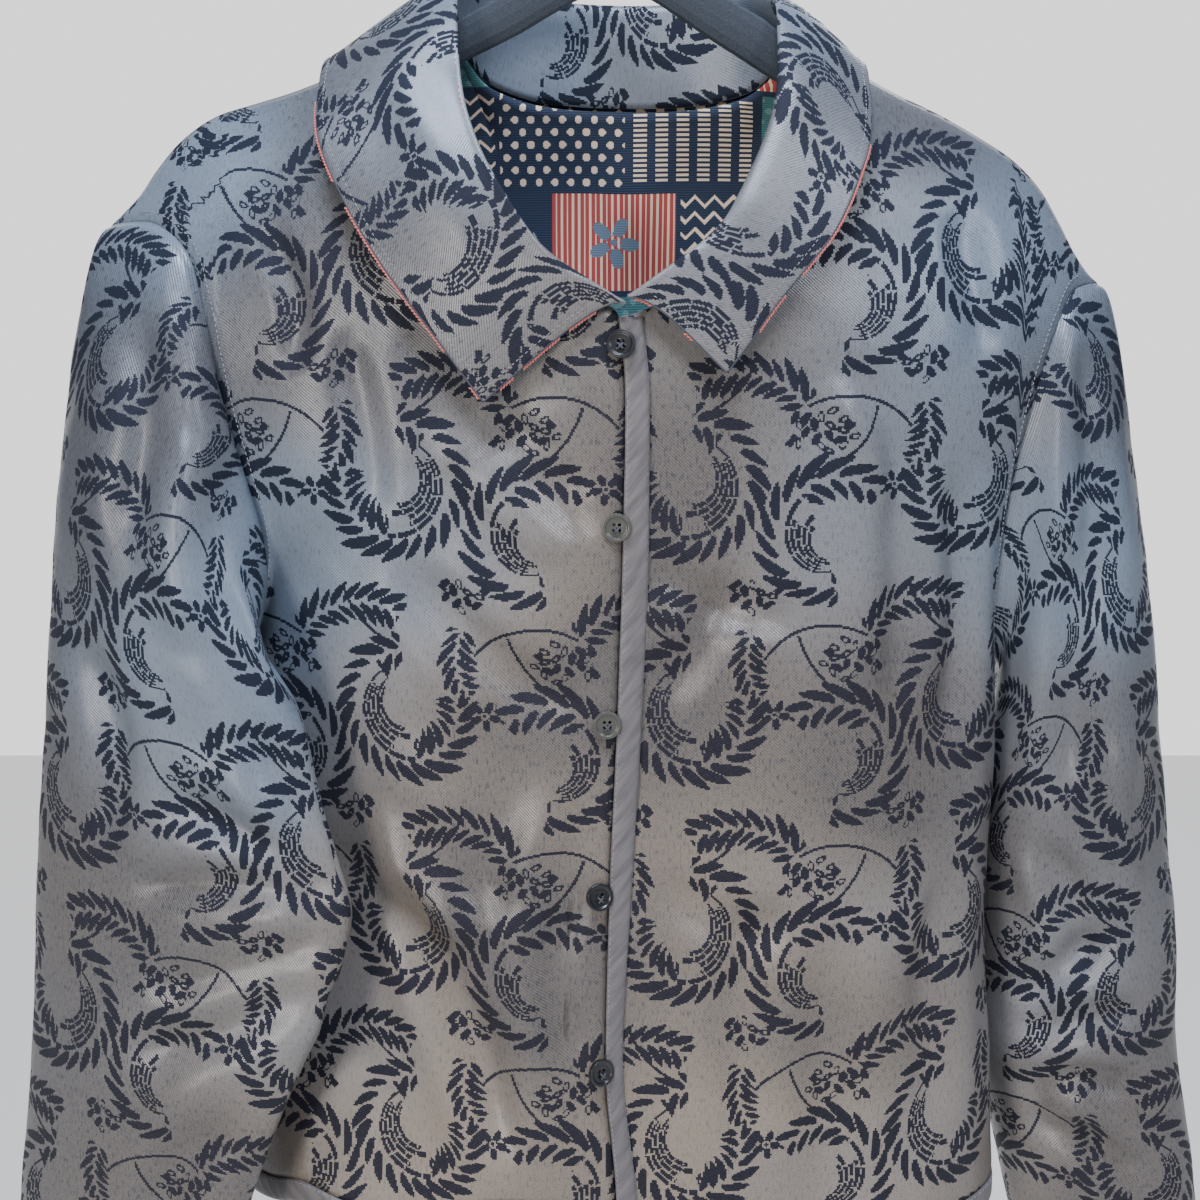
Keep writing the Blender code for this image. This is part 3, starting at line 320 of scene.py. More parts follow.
# Grid of a front, by row from the shoulder to the lower edge and by column from centre to side
def frontPanel(side):
    inner, outer = frontInner(side), outerEdge(side, "front")
    columns = np.linspace(0, 1, frontColumns + 1)
    grid = np.zeros((panelRows + 1, frontColumns + 1, 3))
    hemChord = inner[-1, 1] + (outer[-1, 2] - inner[-1, 1]) * columns
    for row in range(panelRows + 1):
        z = inner[row, 1] + (outer[row, 2] - inner[row, 1]) * columns
        width = halfWidth(side, z)
        angleIn, angleOut = np.arcsin(np.clip([inner[row, 0] / width[0], outer[row, 0] / width[-1]], -1, 1))
        turn = np.sin(angleIn + (angleOut - angleIn) * columns)
        x = width * turn
        belowIn, belowOut = ridge(inner[row, 0]) - inner[row, 1], ridge(outer[row, 0]) - outer[row, 2]
        hung = ridge(x) - (belowIn + (belowOut - belowIn) * columns)
        z = hung + (z - hung) * ease(row / neckRows)
        toHem = read(lowerEdge, "x", "front", x) - hemChord
        z = z + ease((row - neckRows) / (panelRows - neckRows)) * toHem
        x = halfWidth(side, z) * turn
        x[0], z[0] = inner[row]
        grid[row] = onBody("front", x, z, overlapLift(x) if side == "left" else 0.0)
    grid[:, -1] = outer
    grid[0, :, 1] = 0.0
    return grid

# The angle round the body of a place seen from the front: 0 in the middle, a quarter turn at a side
def turnOf(x, z):
    return np.arcsin(np.clip(x / widthAt(x, z), -1, 1))

# How far down a side point is, from 0 at the shoulder line to 1 at the lower edge
def shareDown(point, low):
    top = ridge(point[0])
    return (top - point[2]) / (top - low)

# Grid of the back, by row from the top edge down and by column from the left side to the right
def backPanel(leftFront, rightFront):
    neck = smoothPath(neckLines["back"], backNeckColumns)
    neck = onBody("back", neck[:, 0], neck[:, 1])
    top = np.concatenate([leftFront[0, ::-1], neck[1:-1], rightFront[0]])
    left, right = outerEdge("left", "back"), outerEdge("right", "back")
    places = np.linspace(0, 1, len(top))

    def between(start, end):
        return start + (end - start) * places

    lowChord = between(left[-1, 2], right[-1, 2])
    topTurn = turnOf(top[:, 0], top[:, 2])
    grid = np.zeros((panelRows + 1, len(top), 3))
    for row in range(panelRows + 1):
        down = between(shareDown(left[row], left[-1, 2]), shareDown(right[row], right[-1, 2]))
        level = between(left[row, 2], right[row, 2])
        level = level + ease(down) * (read(lowerEdge, "x", "back", top[:, 0]) - lowChord)
        z = top[:, 2] + (left[-1, 2] - top[:, 2]) * down
        z = z + (level - z) * ease(down * 2.5)
        turnLeft, turnRight = turnOf(left[row, 0], left[row, 2]), turnOf(right[row, 0], right[row, 2])
        kept = topTurn * np.where(topTurn < 0, turnLeft / topTurn[0], turnRight / topTurn[-1])
        turn = kept + (between(turnLeft, turnRight) - kept) * ease(down * 1.6)
        grid[row] = onBody("back", widthAt(turn, z) * np.sin(turn), z)
    grid[0] = top
    grid[:, 0] = left
    grid[:, -1] = right
    return grid

# Reads a column that has values for a sleeve's first stops only
def readEarly(column, stops, places):
    known = stops[:len(column)]
    return catmull(known, column, np.minimum(places, known[-1]))

# Grid of a sleeve: rings from the armhole to the cuff, each running round its front and back
def sleeve(side):
    seam = np.concatenate([armhole(side, "front"), armhole(side, "back")[-2:0:-1]])
    table = sleeveShapes[side]
    stops = np.linspace(0, 1, len(table["outer"]))
    places = np.linspace(0, 1, sleeveRings + 1)
    outer, inner = [catmull(stops, table[name], places) for name in ("outer", "inner")]
    reach = catmull(stops, np.array([table["front"], table["back"]]).T, places)
    frontRise, backRise, overhang = [readEarly(table[name], stops, places)
                                     for name in ("front rise", "back rise", "overhang")]
    grid = np.zeros((sleeveRings + 1, 2 * armholeRows, 3))
    turns = np.arange(2 * armholeRows) * np.pi / armholeRows
    cosines, sines = np.cos(turns), np.sin(turns)
    topShare, lowShare = [((1 + way * cosines) / 2)[:, None] ** 3 for way in (1, -1)]
    lowFront = np.exp(-(((turns - 0.87 * np.pi) / 0.50) ** 2))
    for row in range(sleeveRings + 1):
        middle, reachOut = (outer[row] + inner[row]) / 2, (outer[row] - inner[row]) / 2
        across = unit(reachOut)
        forward = np.array([0.0, -1.0, 0.0])
        forward = unit(forward - across * np.dot(forward, across))
        height = np.sign(sines) * np.abs(sines) ** sleeveFullness[side] * np.where(sines >= 0, *reach[row])
        ring = middle + cosines[:, None] * reachOut + height[:, None] * forward
        tied = seam + (outer[row] - outer[0]) * topShare + (inner[row] - inner[0]) * lowShare
        tied = tied + np.where(sines[:, None] >= 0, frontRise[row], backRise[row]) * (1 - topShare - lowShare)
        blend = ease(places[row] * (len(stops) - 1) / 4)
        grid[row] = tied + (ring - tied) * blend + lowFront[:, None] * overhang[row]
    grid[0] = seam
    return clearOfBody(side, grid)

# Keeps a sleeve outside the body: the one before its front, the other behind its back
def clearOfBody(side, grid):
    moved = grid.copy()
    place = np.arange(grid.shape[1])
    half = place <= grid.shape[1] // 2
    low = np.abs(place - 11.5) <= 2.5
    for row in range(1, len(grid)):
        x, y, z = grid[row].T
        ahead = half | (low & (row >= 2)) | (row >= 6) if side == "left" else half & (row < 4)
        room = sleeveRoom * ease(row / 2)
        before = np.minimum(y, -depth("front", x, z) - room)
        behind = np.maximum(y, depth("back", x, z) + room)
        moved[row, :, 1] = np.where(np.abs(x) < widthAt(x, z), np.where(ahead, before, behind), y)
    return moved

# The whole neck seam, from the centre front round the back to the centre front again
def neckSeam():
    left, back, right = [smoothPath(points, count).T for points, count in (
        (neckLines["left"][::-1], 150), (neckLines["back"], 200), (neckLines["right"], 150))]
    return np.concatenate([onBody("front", *left, overlapLift(left[0])), onBody("back", *back)[1:],
                           onBody("front", *right)[1:]])

# The collar's lower edge at the stations, just inside the neck seam
def collarFoot(places):
    seam = neckSeam()
    lengths = lengthsAlong(seam)
    stops = []
    behind = 0
    for x, z in collarShape["neck"]:
        far = np.hypot(seam[behind:, 0] - x, seam[behind:, 2] - z)
        behind += int(np.argmin(np.where(lengths[behind:] - lengths[behind] < 0.08, far, 1.0)))
        stops.append(lengths[behind])
    foot = pointsAt(np.interp(places, np.linspace(0, 1, len(stops)), stops), lengths, seam)
    away = unit(np.stack([-foot[:, 0], np.zeros(len(foot)), -0.06 - foot[:, 2]], axis=1))
    reach = collarRise + collarShoulderRoom * np.exp(-((foot[:, 1:2] / 0.025) ** 2))
    foot[:, 1] -= np.clip(foot[:, 1], -collarSetIn, collarSetIn)
    return foot + away * reach

# Grid of the collar: stations along the neck seam, steps from the seam over the roll to the edge
def collar():
    stops = np.linspace(0, 1, len(collarShape["neck"]))
    places = np.linspace(0, 1, collarStations + 1)
    rolls, edges = [catmull(stops, collarShape[name], places) for name in ("roll", "edge")]
    grid = np.zeros((collarStations + 1, collarSteps + 1, 3))
    for station, (neck, roll, edge) in enumerate(zip(collarFoot(places), rolls, edges)):
        out = unit((edge - roll) * (1, 1, 0))
        rise = np.linalg.norm(roll - neck)
        stand = [neck, neck + np.array([0.0, 0.0, 1.0]) * 0.5 * rise, roll - out * collarInnerRound, roll]
        fall = [roll, roll + out * collarOuterRound, edge + (roll - edge) * 0.4 + out * 0.004, edge]
        share = np.clip(rise / (rise + np.linalg.norm(edge - roll)), 0.15, 0.5)
        for step, place in enumerate(np.linspace(0, 1, collarSteps + 1)):
            if place <= share:
                grid[station, step] = bezier(stand, place / share)
            else:
                grid[station, step] = bezier(fall, (place - share) / (1 - share))
    return grid

def bezier(points, t):
    a, b, c, d = points
    return a * (1 - t) ** 3 + 3 * b * t * (1 - t) ** 2 + 3 * c * t * t * (1 - t) + d * t**3

# The bindings' sections: the share of the width or the drop in metres, and how far the cloth rises there
bindingTop = -0.2640
bindingSections = {"front": ((0.0, 0.0004), (0.35, 0.0007), (0.7, 0.0006), (1.0, -0.0002)),
                   "hem": ((0.0, 0.0), (0.0070, 0.0006), (0.0135, -0.0002))}

# Grid of the binding down the buttoned edge: rows from the neck down, columns from seam to edge
def frontBinding():
    low = float(read(lowerEdge, "x", "front", 0.0)) - bindingSections["hem"][-1][0]
    z = np.linspace(bindingTop, low, panelRows - neckRows + 2)
    seam, edge = [read(frontEdges, "z", "binding " + name, z) for name in ("seam", "edge")]
    return np.stack([onBody("front", seam + (edge - seam) * part + 0.5 * seamGap, z, liftOverlap + raised)
                     for part, raised in bindingSections["front"]], axis=1)

# Grid of the binding below a lower edge: the edge's own points, then two rows down
def hemBinding(edge, face):
    way = -1 if face == "front" else 1
    rows = []
    for drop, raised in bindingSections["hem"]:
        x = edge[:, 0] + np.sign(edge[:, 0]) * 0.02 * drop * np.abs(edge[:, 0]) / 0.22
        y = edge[:, 1] + way * raised * np.clip(np.abs(edge[:, 1]) / 0.02, 0, 1)
        rows.append(np.stack([x, y, edge[:, 2] - drop], axis=1))
    return np.stack(rows)

# Outward directions at the grid's points
def gridNormals(grid, closed, flipped):
    wide = np.roll(grid, -1, axis=1) - np.roll(grid, 1, axis=1) if closed else np.gradient(grid, axis=1)
    normals = np.cross(np.gradient(grid, axis=0), wide)
    normals = normals / np.maximum(np.linalg.norm(normals, axis=2, keepdims=True), 1e-12)
    return -normals if flipped else normals

# Index pairs of the points round a grid's open edges
def border(piece):
    rows, columns = piece["grid"].shape[:2]
    found = [(i, j) for i in (0, rows - 1) for j in range(columns)]
    if not piece["closed"]:
        found += [(i, j) for j in (0, columns - 1) for i in range(1, rows - 1)]
    return found

# Gives the points that pieces share one direction, so that their walls meet without crossing
def shareSeamNormals(pieces):
    sums = {}
    places = [(piece, spot, tuple(np.round(piece["grid"][spot], 5)))
              for piece in pieces for spot in border(piece)]
    for piece, spot, key in places:
        sums[key] = sums.get(key, 0) + piece["normals"][spot]
    for piece, spot, key in places:
        length = np.linalg.norm(sums[key])
        if length > 0.3:
            piece["normals"][spot] = sums[key] / length

# A finer grid, on smooth curves through the coarse one's points
def spreadAxis(grid, times, axis, closed=False):
    line = np.moveaxis(grid, axis, 0)
    if closed:
        line = np.concatenate([line[-1:], line, line[:2]])
    else:
        line = np.concatenate([2 * line[:1] - line[1:2], line, 2 * line[-1:] - line[-2:-1]])
    a, b, c, d = line[:-3], line[1:-2], line[2:-1], line[3:]
    fine = np.stack([0.5 * (2 * b + (c - a) * t + (2 * a - 5 * b + 4 * c - d) * t**2
                            + (3 * b - a - 3 * c + d) * t**3) for t in np.arange(times) / times], axis=1)
    fine = fine.reshape(-1, *line.shape[1:])
    if not closed:
        fine = np.concatenate([fine, line[-2:-1]])
    return np.moveaxis(fine, 0, axis)

def spread(grid, piece):
    down, wide = piece["fine"]
    return spreadAxis(spreadAxis(grid, down, 0), wide, 1, piece["closed"])

# Evens out a grid's inner points, all alike or by a share for each
def soften(grid, closed, passes, share=0.5):
    for _ in range(passes):
        if closed:
            beside = (np.roll(grid, 1, axis=1) + np.roll(grid, -1, axis=1))[1:-1] + grid[:-2] + grid[2:]
            inner = grid[1:-1]
        else:
            beside = grid[1:-1, :-2] + grid[1:-1, 2:] + grid[:-2, 1:-1] + grid[2:, 1:-1]
            inner = grid[1:-1, 1:-1]
        inner += share * (beside / 4 - inner)
    return grid

# The flat cloth's coordinates on the body: lengths from the middle line and up from the lower edge
def bodyPlace(face, grid, low=-0.78):
    x, z = grid[..., 0:1], grid[..., 2:3]
    steps = np.linspace(0, 1, 25)
    across, down = x * steps, low + (z - low) * steps
    u = np.hypot(np.diff(across), np.diff(depth(face, across, z))).sum(-1) * np.sign(x[..., 0])
    return u, np.hypot(np.diff(down), np.diff(depth(face, x, down))).sum(-1)

# Lengths walked along one axis of a grid
def walked(grid, axis):
    steps = np.linalg.norm(np.diff(grid, axis=axis), axis=2)
    start = np.zeros_like(np.take(steps, [0], axis=axis))
    return np.concatenate([start, np.cumsum(steps, axis=axis)], axis=axis)

# The flat cloth's coordinates on a tube: round it from the underside seam, and up from its open end
def tubePlace(grid):
    ring = np.concatenate([grid, grid[:, :1]], axis=1)
    around = walked(ring, 1)
    return around - around[:, -1:] / 2, walked(ring[::-1], 0)[::-1]

# The flat cloth's coordinates on a strip: along its seam and across it
def stripPlace(grid):
    along = walked(grid, 0)
    middle = along[:, along.shape[1] // 2][:, None]
    return np.broadcast_to(middle, along.shape) - middle[-1] / 2, walked(grid, 1)

# How far a crease lifts or sinks the cloth at the given places
def creaseAt(crease, x, z):
    *path, width, rise = crease
    path = smoothPath(np.reshape(path, (3, 2)), 24)
    best = np.full(x.shape, 1.0)
    share = np.zeros(x.shape)
    for number, (start, end) in enumerate(zip(path[:-1], path[1:])):
        run = end - start
        part = np.clip(((x - start[0]) * run[0] + (z - start[1]) * run[1]) / np.dot(run, run), 0, 1)
        far = np.hypot(x - start[0] - part * run[0], z - start[1] - part * run[1])
        share = np.where(far < best, (number + part) / 24, share)
        best = np.minimum(best, far)
    ends = ease(share * 4 + 0.02) * ease((1 - share) * 4 + 0.02)
    beside = 0.35 * np.exp(-(((best - 2 * width) / width) ** 2))
    return rise * ends * (np.exp(-((best / width) ** 2)) - beside)

# The small unevenness that hanging cloth keeps: each ripple's height, how often it turns sideways and up, and
# which of x and y its seed shifts
ripples = [(0.0012, 15, 11, (1, 0)), (0.0006, 46, 34, (0, 1)), (0.00022, 95, 70, (1, 0))]

def unevenness(points, seed):
    def at(x, y, z):
        return sum(height * noise.noise(Vector((x * wide + seed * right, y * wide + seed * deep, z * tall)))
                   for height, wide, tall, (right, deep) in ripples)
    return np.array([at(*spot) for spot in points.reshape(-1, 3)]).reshape(points.shape[:2])

# How near a grid's points are to its seams: 1 on a seam and 0 a few millimetres away
def nearSeams(grid, closed, reach):
    down = walked(grid, 0)
    near = np.minimum(down, down[-1] - down)
    if not closed:
        wide = walked(grid, 1)
        near = np.minimum(near, np.minimum(wide, wide[:, -1:] - wide))
    return np.exp(-((near / reach) ** 2))

# One piece's coarse grid with its outward directions
def clothPiece(name, grid, settings):
    piece = {"closed": False, "flipped": False, **settings, "name": name, "grid": grid}
    piece["normals"] = gridNormals(grid, piece["closed"], piece["flipped"])
    return piece

# How far from a seam the cloth lies flat, its ditch's reach and depth, and where the seam sets the directions
seamSettling = {"flat": 0.010, "reach": 0.0034, "sink": 0.0016, "normals": 0.004}

# Refines a piece, lays its creases into it and works out its cloth coordinates
def dress(piece, seed):
    closed = piece["closed"]
    seamNormals = spread(piece["normals"], piece)
    grid = soften(spread(piece["grid"], piece), closed, 4)
    edgeNormals = unit(seamNormals)
    if "crowded" in piece:
        # Under the arm the rows crowd round a corner, so that they are spread out evenly there.
        spot = piece["crowded"]
        square = (grid[..., 0] - spot["x"]) ** 2 + (grid[..., 2] - spot["z"]) ** 2
        near = np.exp(-(square / spot["reach"] ** 2))
        grid = soften(grid, closed, spot["passes"], 0.6 * near[1:-1, 1:-1, None])
        near = near[..., None]
        edgeNormals = gridNormals(grid, closed, piece["flipped"]) * near + edgeNormals * (1 - near)
        edgeNormals[[0, -1]] = seamNormals[[0, -1]]
        edgeNormals[:, [0, -1]] = seamNormals[:, [0, -1]]
        edgeNormals = unit(edgeNormals)
    piece["place"] = piece["flat place"](grid)
    rise = unevenness(grid, seed) * piece.get("uneven", 1.0)
    for side, lines in creases.get(piece["name"], {}).items():
        facing = edgeNormals[..., 1] * (-1 if side == "front" else 1)
        for crease in lines:
            rise = rise + creaseAt(crease, grid[..., 0], grid[..., 2]) * ease(facing * 2.5 + 0.2)
    if "tucked" in piece:
        under = ease(piece["tucked"](grid, edgeNormals))
        rise = rise * (1 - under) + under * np.minimum(rise - 0.0006, -0.0004)
    settled = nearSeams(grid, closed, seamSettling["flat"])
    seams = nearSeams(grid, closed, piece.get("seam reach", seamSettling["reach"]))
    rise = rise * (1 - settled) - piece.get("seam sink", seamSettling["sink"]) * seams
    grid = grid + edgeNormals * rise[..., None]
    blend = nearSeams(grid, closed, seamSettling["normals"])[..., None]
    piece["surface"] = grid
    piece["facing"] = unit(gridNormals(grid, closed, piece["flipped"]) * (1 - blend) + edgeNormals * blend)

# A mesh object that rides on the jacket
def addMesh(name, points, faces, materials):
    mesh = bpy.data.meshes.new(name)
    mesh.from_pydata(np.asarray(points).tolist(), [], faces)
    for material in materials:
        mesh.materials.append(material)
    mesh.polygons.foreach_set("use_smooth", [True] * len(faces))
    mesh.uv_layers.new(name="Cloth")
    mesh.update()
    made = bpy.data.objects.new(name, mesh)
    bpy.context.scene.collection.objects.link(made)
    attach(made, "root")
    return made

# A closed thin shell with its outer face, its inner face and rounded or plain rims
def makeShell(piece, materials):
    closed, outer, wall = piece["closed"], piece["surface"], piece["wall"]
    inner = outer - piece["facing"] * wall
    rows, columns = outer.shape[:2]
    layer = rows * columns
    points = [outer.reshape(-1, 3), inner.reshape(-1, 3)]
    u, v = piece["place"]
    faces, places, kinds = [], [], []

    def add(face, spots, kind):
        turn = -1 if piece["flipped"] else 1
        faces.append(face[::turn])
        places.extend(spots[::turn])
        kinds.append(kind)

    def corner(i, j):
        return i * columns + j % columns

    for i in range(rows - 1):
        for j in range(columns if closed else columns - 1):
            around = [(i, j), (i + 1, j), (i + 1, j + 1), (i, j + 1)]
            quad = [corner(*pair) for pair in around]
            spots = [(u[pair], v[pair]) for pair in around]
            add(quad, spots, 0)
            add([k + layer for k in quad[::-1]], spots[::-1], 1)

    def rim(name, pairs, inside):
        line, under, back = [np.array([face[pair] for pair in spots])
                             for face, spots in ((outer, pairs), (inner, pairs), (outer, inside))]
        first = sum(map(len, points))
        points.append((line + under) / 2 + unit(line - back) * piece.get("round", {}).get(name, 0.0) * wall)
        for k in range(len(pairs) if closed else len(pairs) - 1):
            n = (k + 1) % len(pairs)
            a, b = corner(*pairs[k]), corner(*pairs[n])
            start, end = [(u[pair], v[pair]) for pair in (pairs[k], pairs[n])]
            add([a, b, first + n, first + k], [start, end, end, start], 2)
            add([first + k, first + n, b + layer, a + layer], [start, end, end, start], 2)

    def line(row, column):
        return [(row if column is None else i, i if column is None else column)
                for i in range(columns if column is None else rows)]

    rim("top", line(0, None), line(1, None))
    rim("bottom", line(rows - 1, None)[::-1], line(rows - 2, None)[::-1])
    if not closed:
        rim("first", line(None, 0)[::-1], line(None, 1)[::-1])
        rim("last", line(None, columns - 1), line(None, columns - 2))
    made = addMesh(piece["name"] + "_cloth", np.concatenate(points), faces, materials)
    made.data.polygons.foreach_set("material_index", kinds)
    made.data.uv_layers["Cloth"].data.foreach_set("uv", np.array(places, float).ravel())
    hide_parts(piece["name"])
    return made

# Creases: three points seen from the front as x and z, the width and the rise
creases = metres({
    "front_right": {
        "front": [(-64, -318, -38, -335, -14, -360, 9, -3.6), (-52, -343, -31, -359, -12, -380, 9, -3.4),
                  (-102, -316, -56, -366, -20, -394, 11, 4), (-148, -262, -134, -317, -128, -376, 10, -5.1),
                  (-118, -388, -79, -434, -14, -480, 12, -5.9),
                  (-130, -566, -90, -639, -56, -740, 12, -6.6),
                  (-146, -532, -103, -580, -50, -606, 11, 5.1), (-28, -500, -52, -580, -40, -700, 12, 4.3),
                  (-14, -560, -36, -612, -20, -680, 8, -4.3),
                  (-186, -215, -168, -262, -172, -300, 9, -5.1)],
    },
    "front_left": {
        "front": [(138, -312, 152, -392, 150, -486, 11, -6.6), (178, -340, 186, -425, 182, -510, 9, -5.4),
                  (70, -386, 44, -436, 14, -474, 11, -5.1), (14, -390, 50, -414, 104, -424, 10, -4.7),
                  (106, -296, 126, -323, 147, -374, 9, 5.1), (80, -566, 68, -642, 78, -740, 13, -6.2),
                  (146, -578, 141, -666, 151, -750, 13, 5.9), (18, -560, 52, -590, 108, -596, 12, -4.7),
                  (186, -560, 176, -640, 184, -730, 10, -5.5), (176, -206, 186, -248, 196, -290, 9, -4.7)],
    },
    "back": {
        "back": [(-120, -250, -80, -330, -95, -450, 13, -6.6), (140, -240, 100, -340, 110, -470, 13, -6.6),
                 (10, -200, 16, -330, 4, -480, 14, 5.1), (-160, -480, -60, -520, 40, -505, 12, -4.7),
                 (170, -560, 90, -600, -10, -590, 12, 4.7), (-150, -600, -120, -680, -130, -750, 12, -5.9)],
    },
    "sleeve_right": {
        "front": [(-146, -578, -198, -562, -272, -574, 9, -5.4),
                  (-146, -574, -192, -538, -250, -514, 10, -6),
                  (-146, -584, -189, -604, -262, -634, 10, -6),
                  (-148, -574, -170, -519, -192, -470, 10, -5.9),
                  (-154, -610, -207, -642, -276, -672, 12, -7),
                  (-257, -250, -248, -316, -260, -392, 11, -6.6),
                  (-214, -310, -228, -367, -222, -440, 12, 5.9),
                  (-290, -426, -270, -497, -286, -556, 11, -6.2),
                  (-200, -690, -250, -740, -262, -810, 12, -5.9)],
        "back": [(-180, -520, -240, -560, -270, -640, 12, -6.6),
                 (-200, -300, -250, -380, -240, -460, 12, -6.6)],
    },
    "sleeve_left": {
        "front": [(252, -262, 257, -351, 266, -446, 10, -6), (236, -734, 273, -712, 314, -720, 9, -5.4),
                  (236, -693, 271, -673, 316, -664, 9, -5.4), (234, -676, 263, -640, 296, -612, 10, -6),
                  (239, -374, 254, -458, 250, -548, 12, -6.6), (290, -476, 286, -552, 304, -620, 11, 6.2),
                  (240, -740, 275, -752, 320, -778, 10, -6), (240, -560, 262, -600, 270, -650, 9, -5.4)],
        "back": [(230, -300, 262, -400, 250, -500, 12, -6.6), (240, -560, 280, -620, 300, -700, 12, -7)],
    },
    "collar": {
        "front": [(-120, -135, -95, -180, -78, -235, 12, 2.3), (100, -130, 75, -180, 60, -228, 12, 2.3)],
    },
})

# Where pieces lie against each other, so that neither's folds may stand out there
def underSleeve(grid, facing):
    return (-0.118 - grid[..., 0]) / 0.02

def againstFront(grid, facing):
    return facing[..., 1] * 3.0 * ease((grid[..., 0] + 0.245) / 0.02)

def besideBack(grid, facing):
    return (0.240 - grid[..., 0]) / 0.02

def onFront(grid):
    return bodyPlace("front", grid)

def onBack(grid):
    return bodyPlace("back", grid)

# The garment's pieces as the pattern cutter would list them, with how finely each is drawn
def layOut():
    right, left = frontPanel("left"), frontPanel("right")
    back = backPanel(right, left)
    sleeves = [np.roll(sleeve(side), -armholeRows, axis=1) for side in ("left", "right")]
    panel = {"wall": 0.0015, "fine": (6, 6), "slot": "shell_cloth", "look": "jacquard", "flat place": onFront}
    sleeved = {**panel, "closed": True, "slot": "sleeve_cloth", "flat place": tubePlace,
               "round": {"bottom": 0.5}}
    bound = {"wall": 0.0022, "fine": (3, 6), "slot": "binding", "look": "binding", "flat place": stripPlace,
             "uneven": 0.25, "seam reach": 0.0012, "seam sink": 0.0004, "round": {"bottom": 0.5}}
    crowded = {"x": -0.185, "z": -0.415, "reach": 0.065, "passes": 300}
    pieces = [clothPiece(name, grid, settings) for name, grid, settings in (
        ("front_right", right, {**panel, "flipped": True, "tucked": underSleeve, "crowded": crowded}),
        ("front_left", left, panel),
        ("back", back, {**panel, "fine": (5, 4), "flipped": True, "flat place": onBack}),
        ("sleeve_right", sleeves[0], {**sleeved, "tucked": againstFront}),
        ("sleeve_left", sleeves[1], {**sleeved, "flipped": True, "tucked": besideBack}),
        ("hem_binding_front_right", hemBinding(right[-1], "front"), {**bound, "flipped": True}),
        ("hem_binding_front_left", hemBinding(left[-1], "front"), bound),
        ("hem_binding_back", hemBinding(back[-1], "back"), {**bound, "fine": (3, 4), "flipped": True}),
    )]
    shareSeamNormals(pieces)
    bound.update({"fine": (10, 4), "round": {"last": 0.5}})
    pieces.append(clothPiece("front_binding", frontBinding(), bound))
    turned = clothPiece("collar", collar(), {**panel, "wall": 0.0020, "slot": "collar_cloth", "uneven": 0.6,
                                             "seam sink": 0.0, "flat place": stripPlace,
                                             "round": {"last": 0.5, "top": 0.5, "bottom": 0.5}})
    turned["normals"][:, 0] = unit(turned["normals"][:, 0] * (1, 1, 0))
    return pieces + [turned]

# sRGB hex to the linear colour that a shader takes
def linear(code, shade=1.0):
    parts = [int(code[i:i + 2], 16) / 255 for i in (0, 2, 4)]
    parts = [c / 12.92 if c <= 0.04045 else ((c + 0.055) / 1.055) ** 2.4 for c in parts]
    return tuple(shade * c for c in parts) + (1.0,)

# Gives a node's inputs their values: numbers, hex colours or other nodes' outputs
def feed(node, inputs):
    for key, value in inputs.items():
        if isinstance(value, Signal):
            value = value.socket
        if isinstance(value, bpy.types.NodeSocket):
            node.id_data.links.new(value, node.inputs[key])
        else:
            node.inputs[key].default_value = linear(value) if isinstance(value, str) else value

# Adds a node with its settings and its inputs
def addNode(tree, kind, inputs=None, **settings):
    node = tree.nodes.new("ShaderNode" + kind)
    for name, value in settings.items():
        setattr(node, name, value)
    feed(node, inputs or {})
    return node

# A node's output that takes plain arithmetic, so that a pattern reads like its formula
class Signal:
    def __init__(self, socket):
        self.socket = socket

    def do(self, operation, *others):
        inputs = dict(enumerate((self, *others)))
        return Signal(addNode(self.socket.id_data, "Math", inputs, operation=operation).outputs[0])

signalOperations = {
    "__add__": "ADD", "__sub__": "SUBTRACT", "__mul__": "MULTIPLY", "__truediv__": "DIVIDE",
    "__abs__": "ABSOLUTE", "under": "LESS_THAN", "over": "GREATER_THAN", "most": "MAXIMUM",
    "least": "MINIMUM", "fract": "FRACT",
    "floor": "FLOOR", "wrapped": "FLOORED_MODULO", "power": "POWER",
}
for name, operation in signalOperations.items():
    setattr(Signal, name, lambda self, *others, operation=operation: self.do(operation, *others))

# Joins signals into a vector, and splits a vector into signals
def joined(tree, *parts):
    return addNode(tree, "CombineXYZ", dict(enumerate(parts))).outputs[0]

def split(tree, vector):
    return [Signal(socket) for socket in addNode(tree, "SeparateXYZ", {0: vector}).outputs]

# A random value from 0 to 1 for each whole value that comes in
def luckOf(tree, whole):
    return Signal(addNode(tree, "TexWhiteNoise", {"W": whole}, noise_dimensions="1D").outputs["Value"])

def radiusOf(given):
    return (given["X"] * given["X"] + given["Y"] * given["Y"]).do("SQRT")

# A node group that a design function fills: it takes the signals that come in and gives those that leave
def newGroup(name, inputs, design):
    group = bpy.data.node_groups.new(name, "ShaderNodeTree")
    for label, value in inputs.items():
        group.interface.new_socket(label, in_out="INPUT", socket_type="NodeSocketFloat").default_value = value
    entry = group.nodes.new("NodeGroupInput")
    found = design(group, {label: Signal(entry.outputs[label]) for label in inputs})
    for label in found:
        group.interface.new_socket(label, in_out="OUTPUT", socket_type="NodeSocketFloat")
    feed(group.nodes.new("NodeGroupOutput"), found)
    return group

# Uses a motif's group, and gives its outputs as signals
def useGroup(tree, motif, inputs):
    node = addNode(tree, "Group", inputs, node_tree=motifGroups[motif])
    return [Signal(socket) for socket in node.outputs]

# The jacquard's repeat in millimetres: each half drop is the mirror of the one before it. Its threads are
# drawn about twice their real size, because finer steps would not show.
repeat = {"width": 155.0, "drop": 122.5, "thread": 0.95, "pick": 0.85}

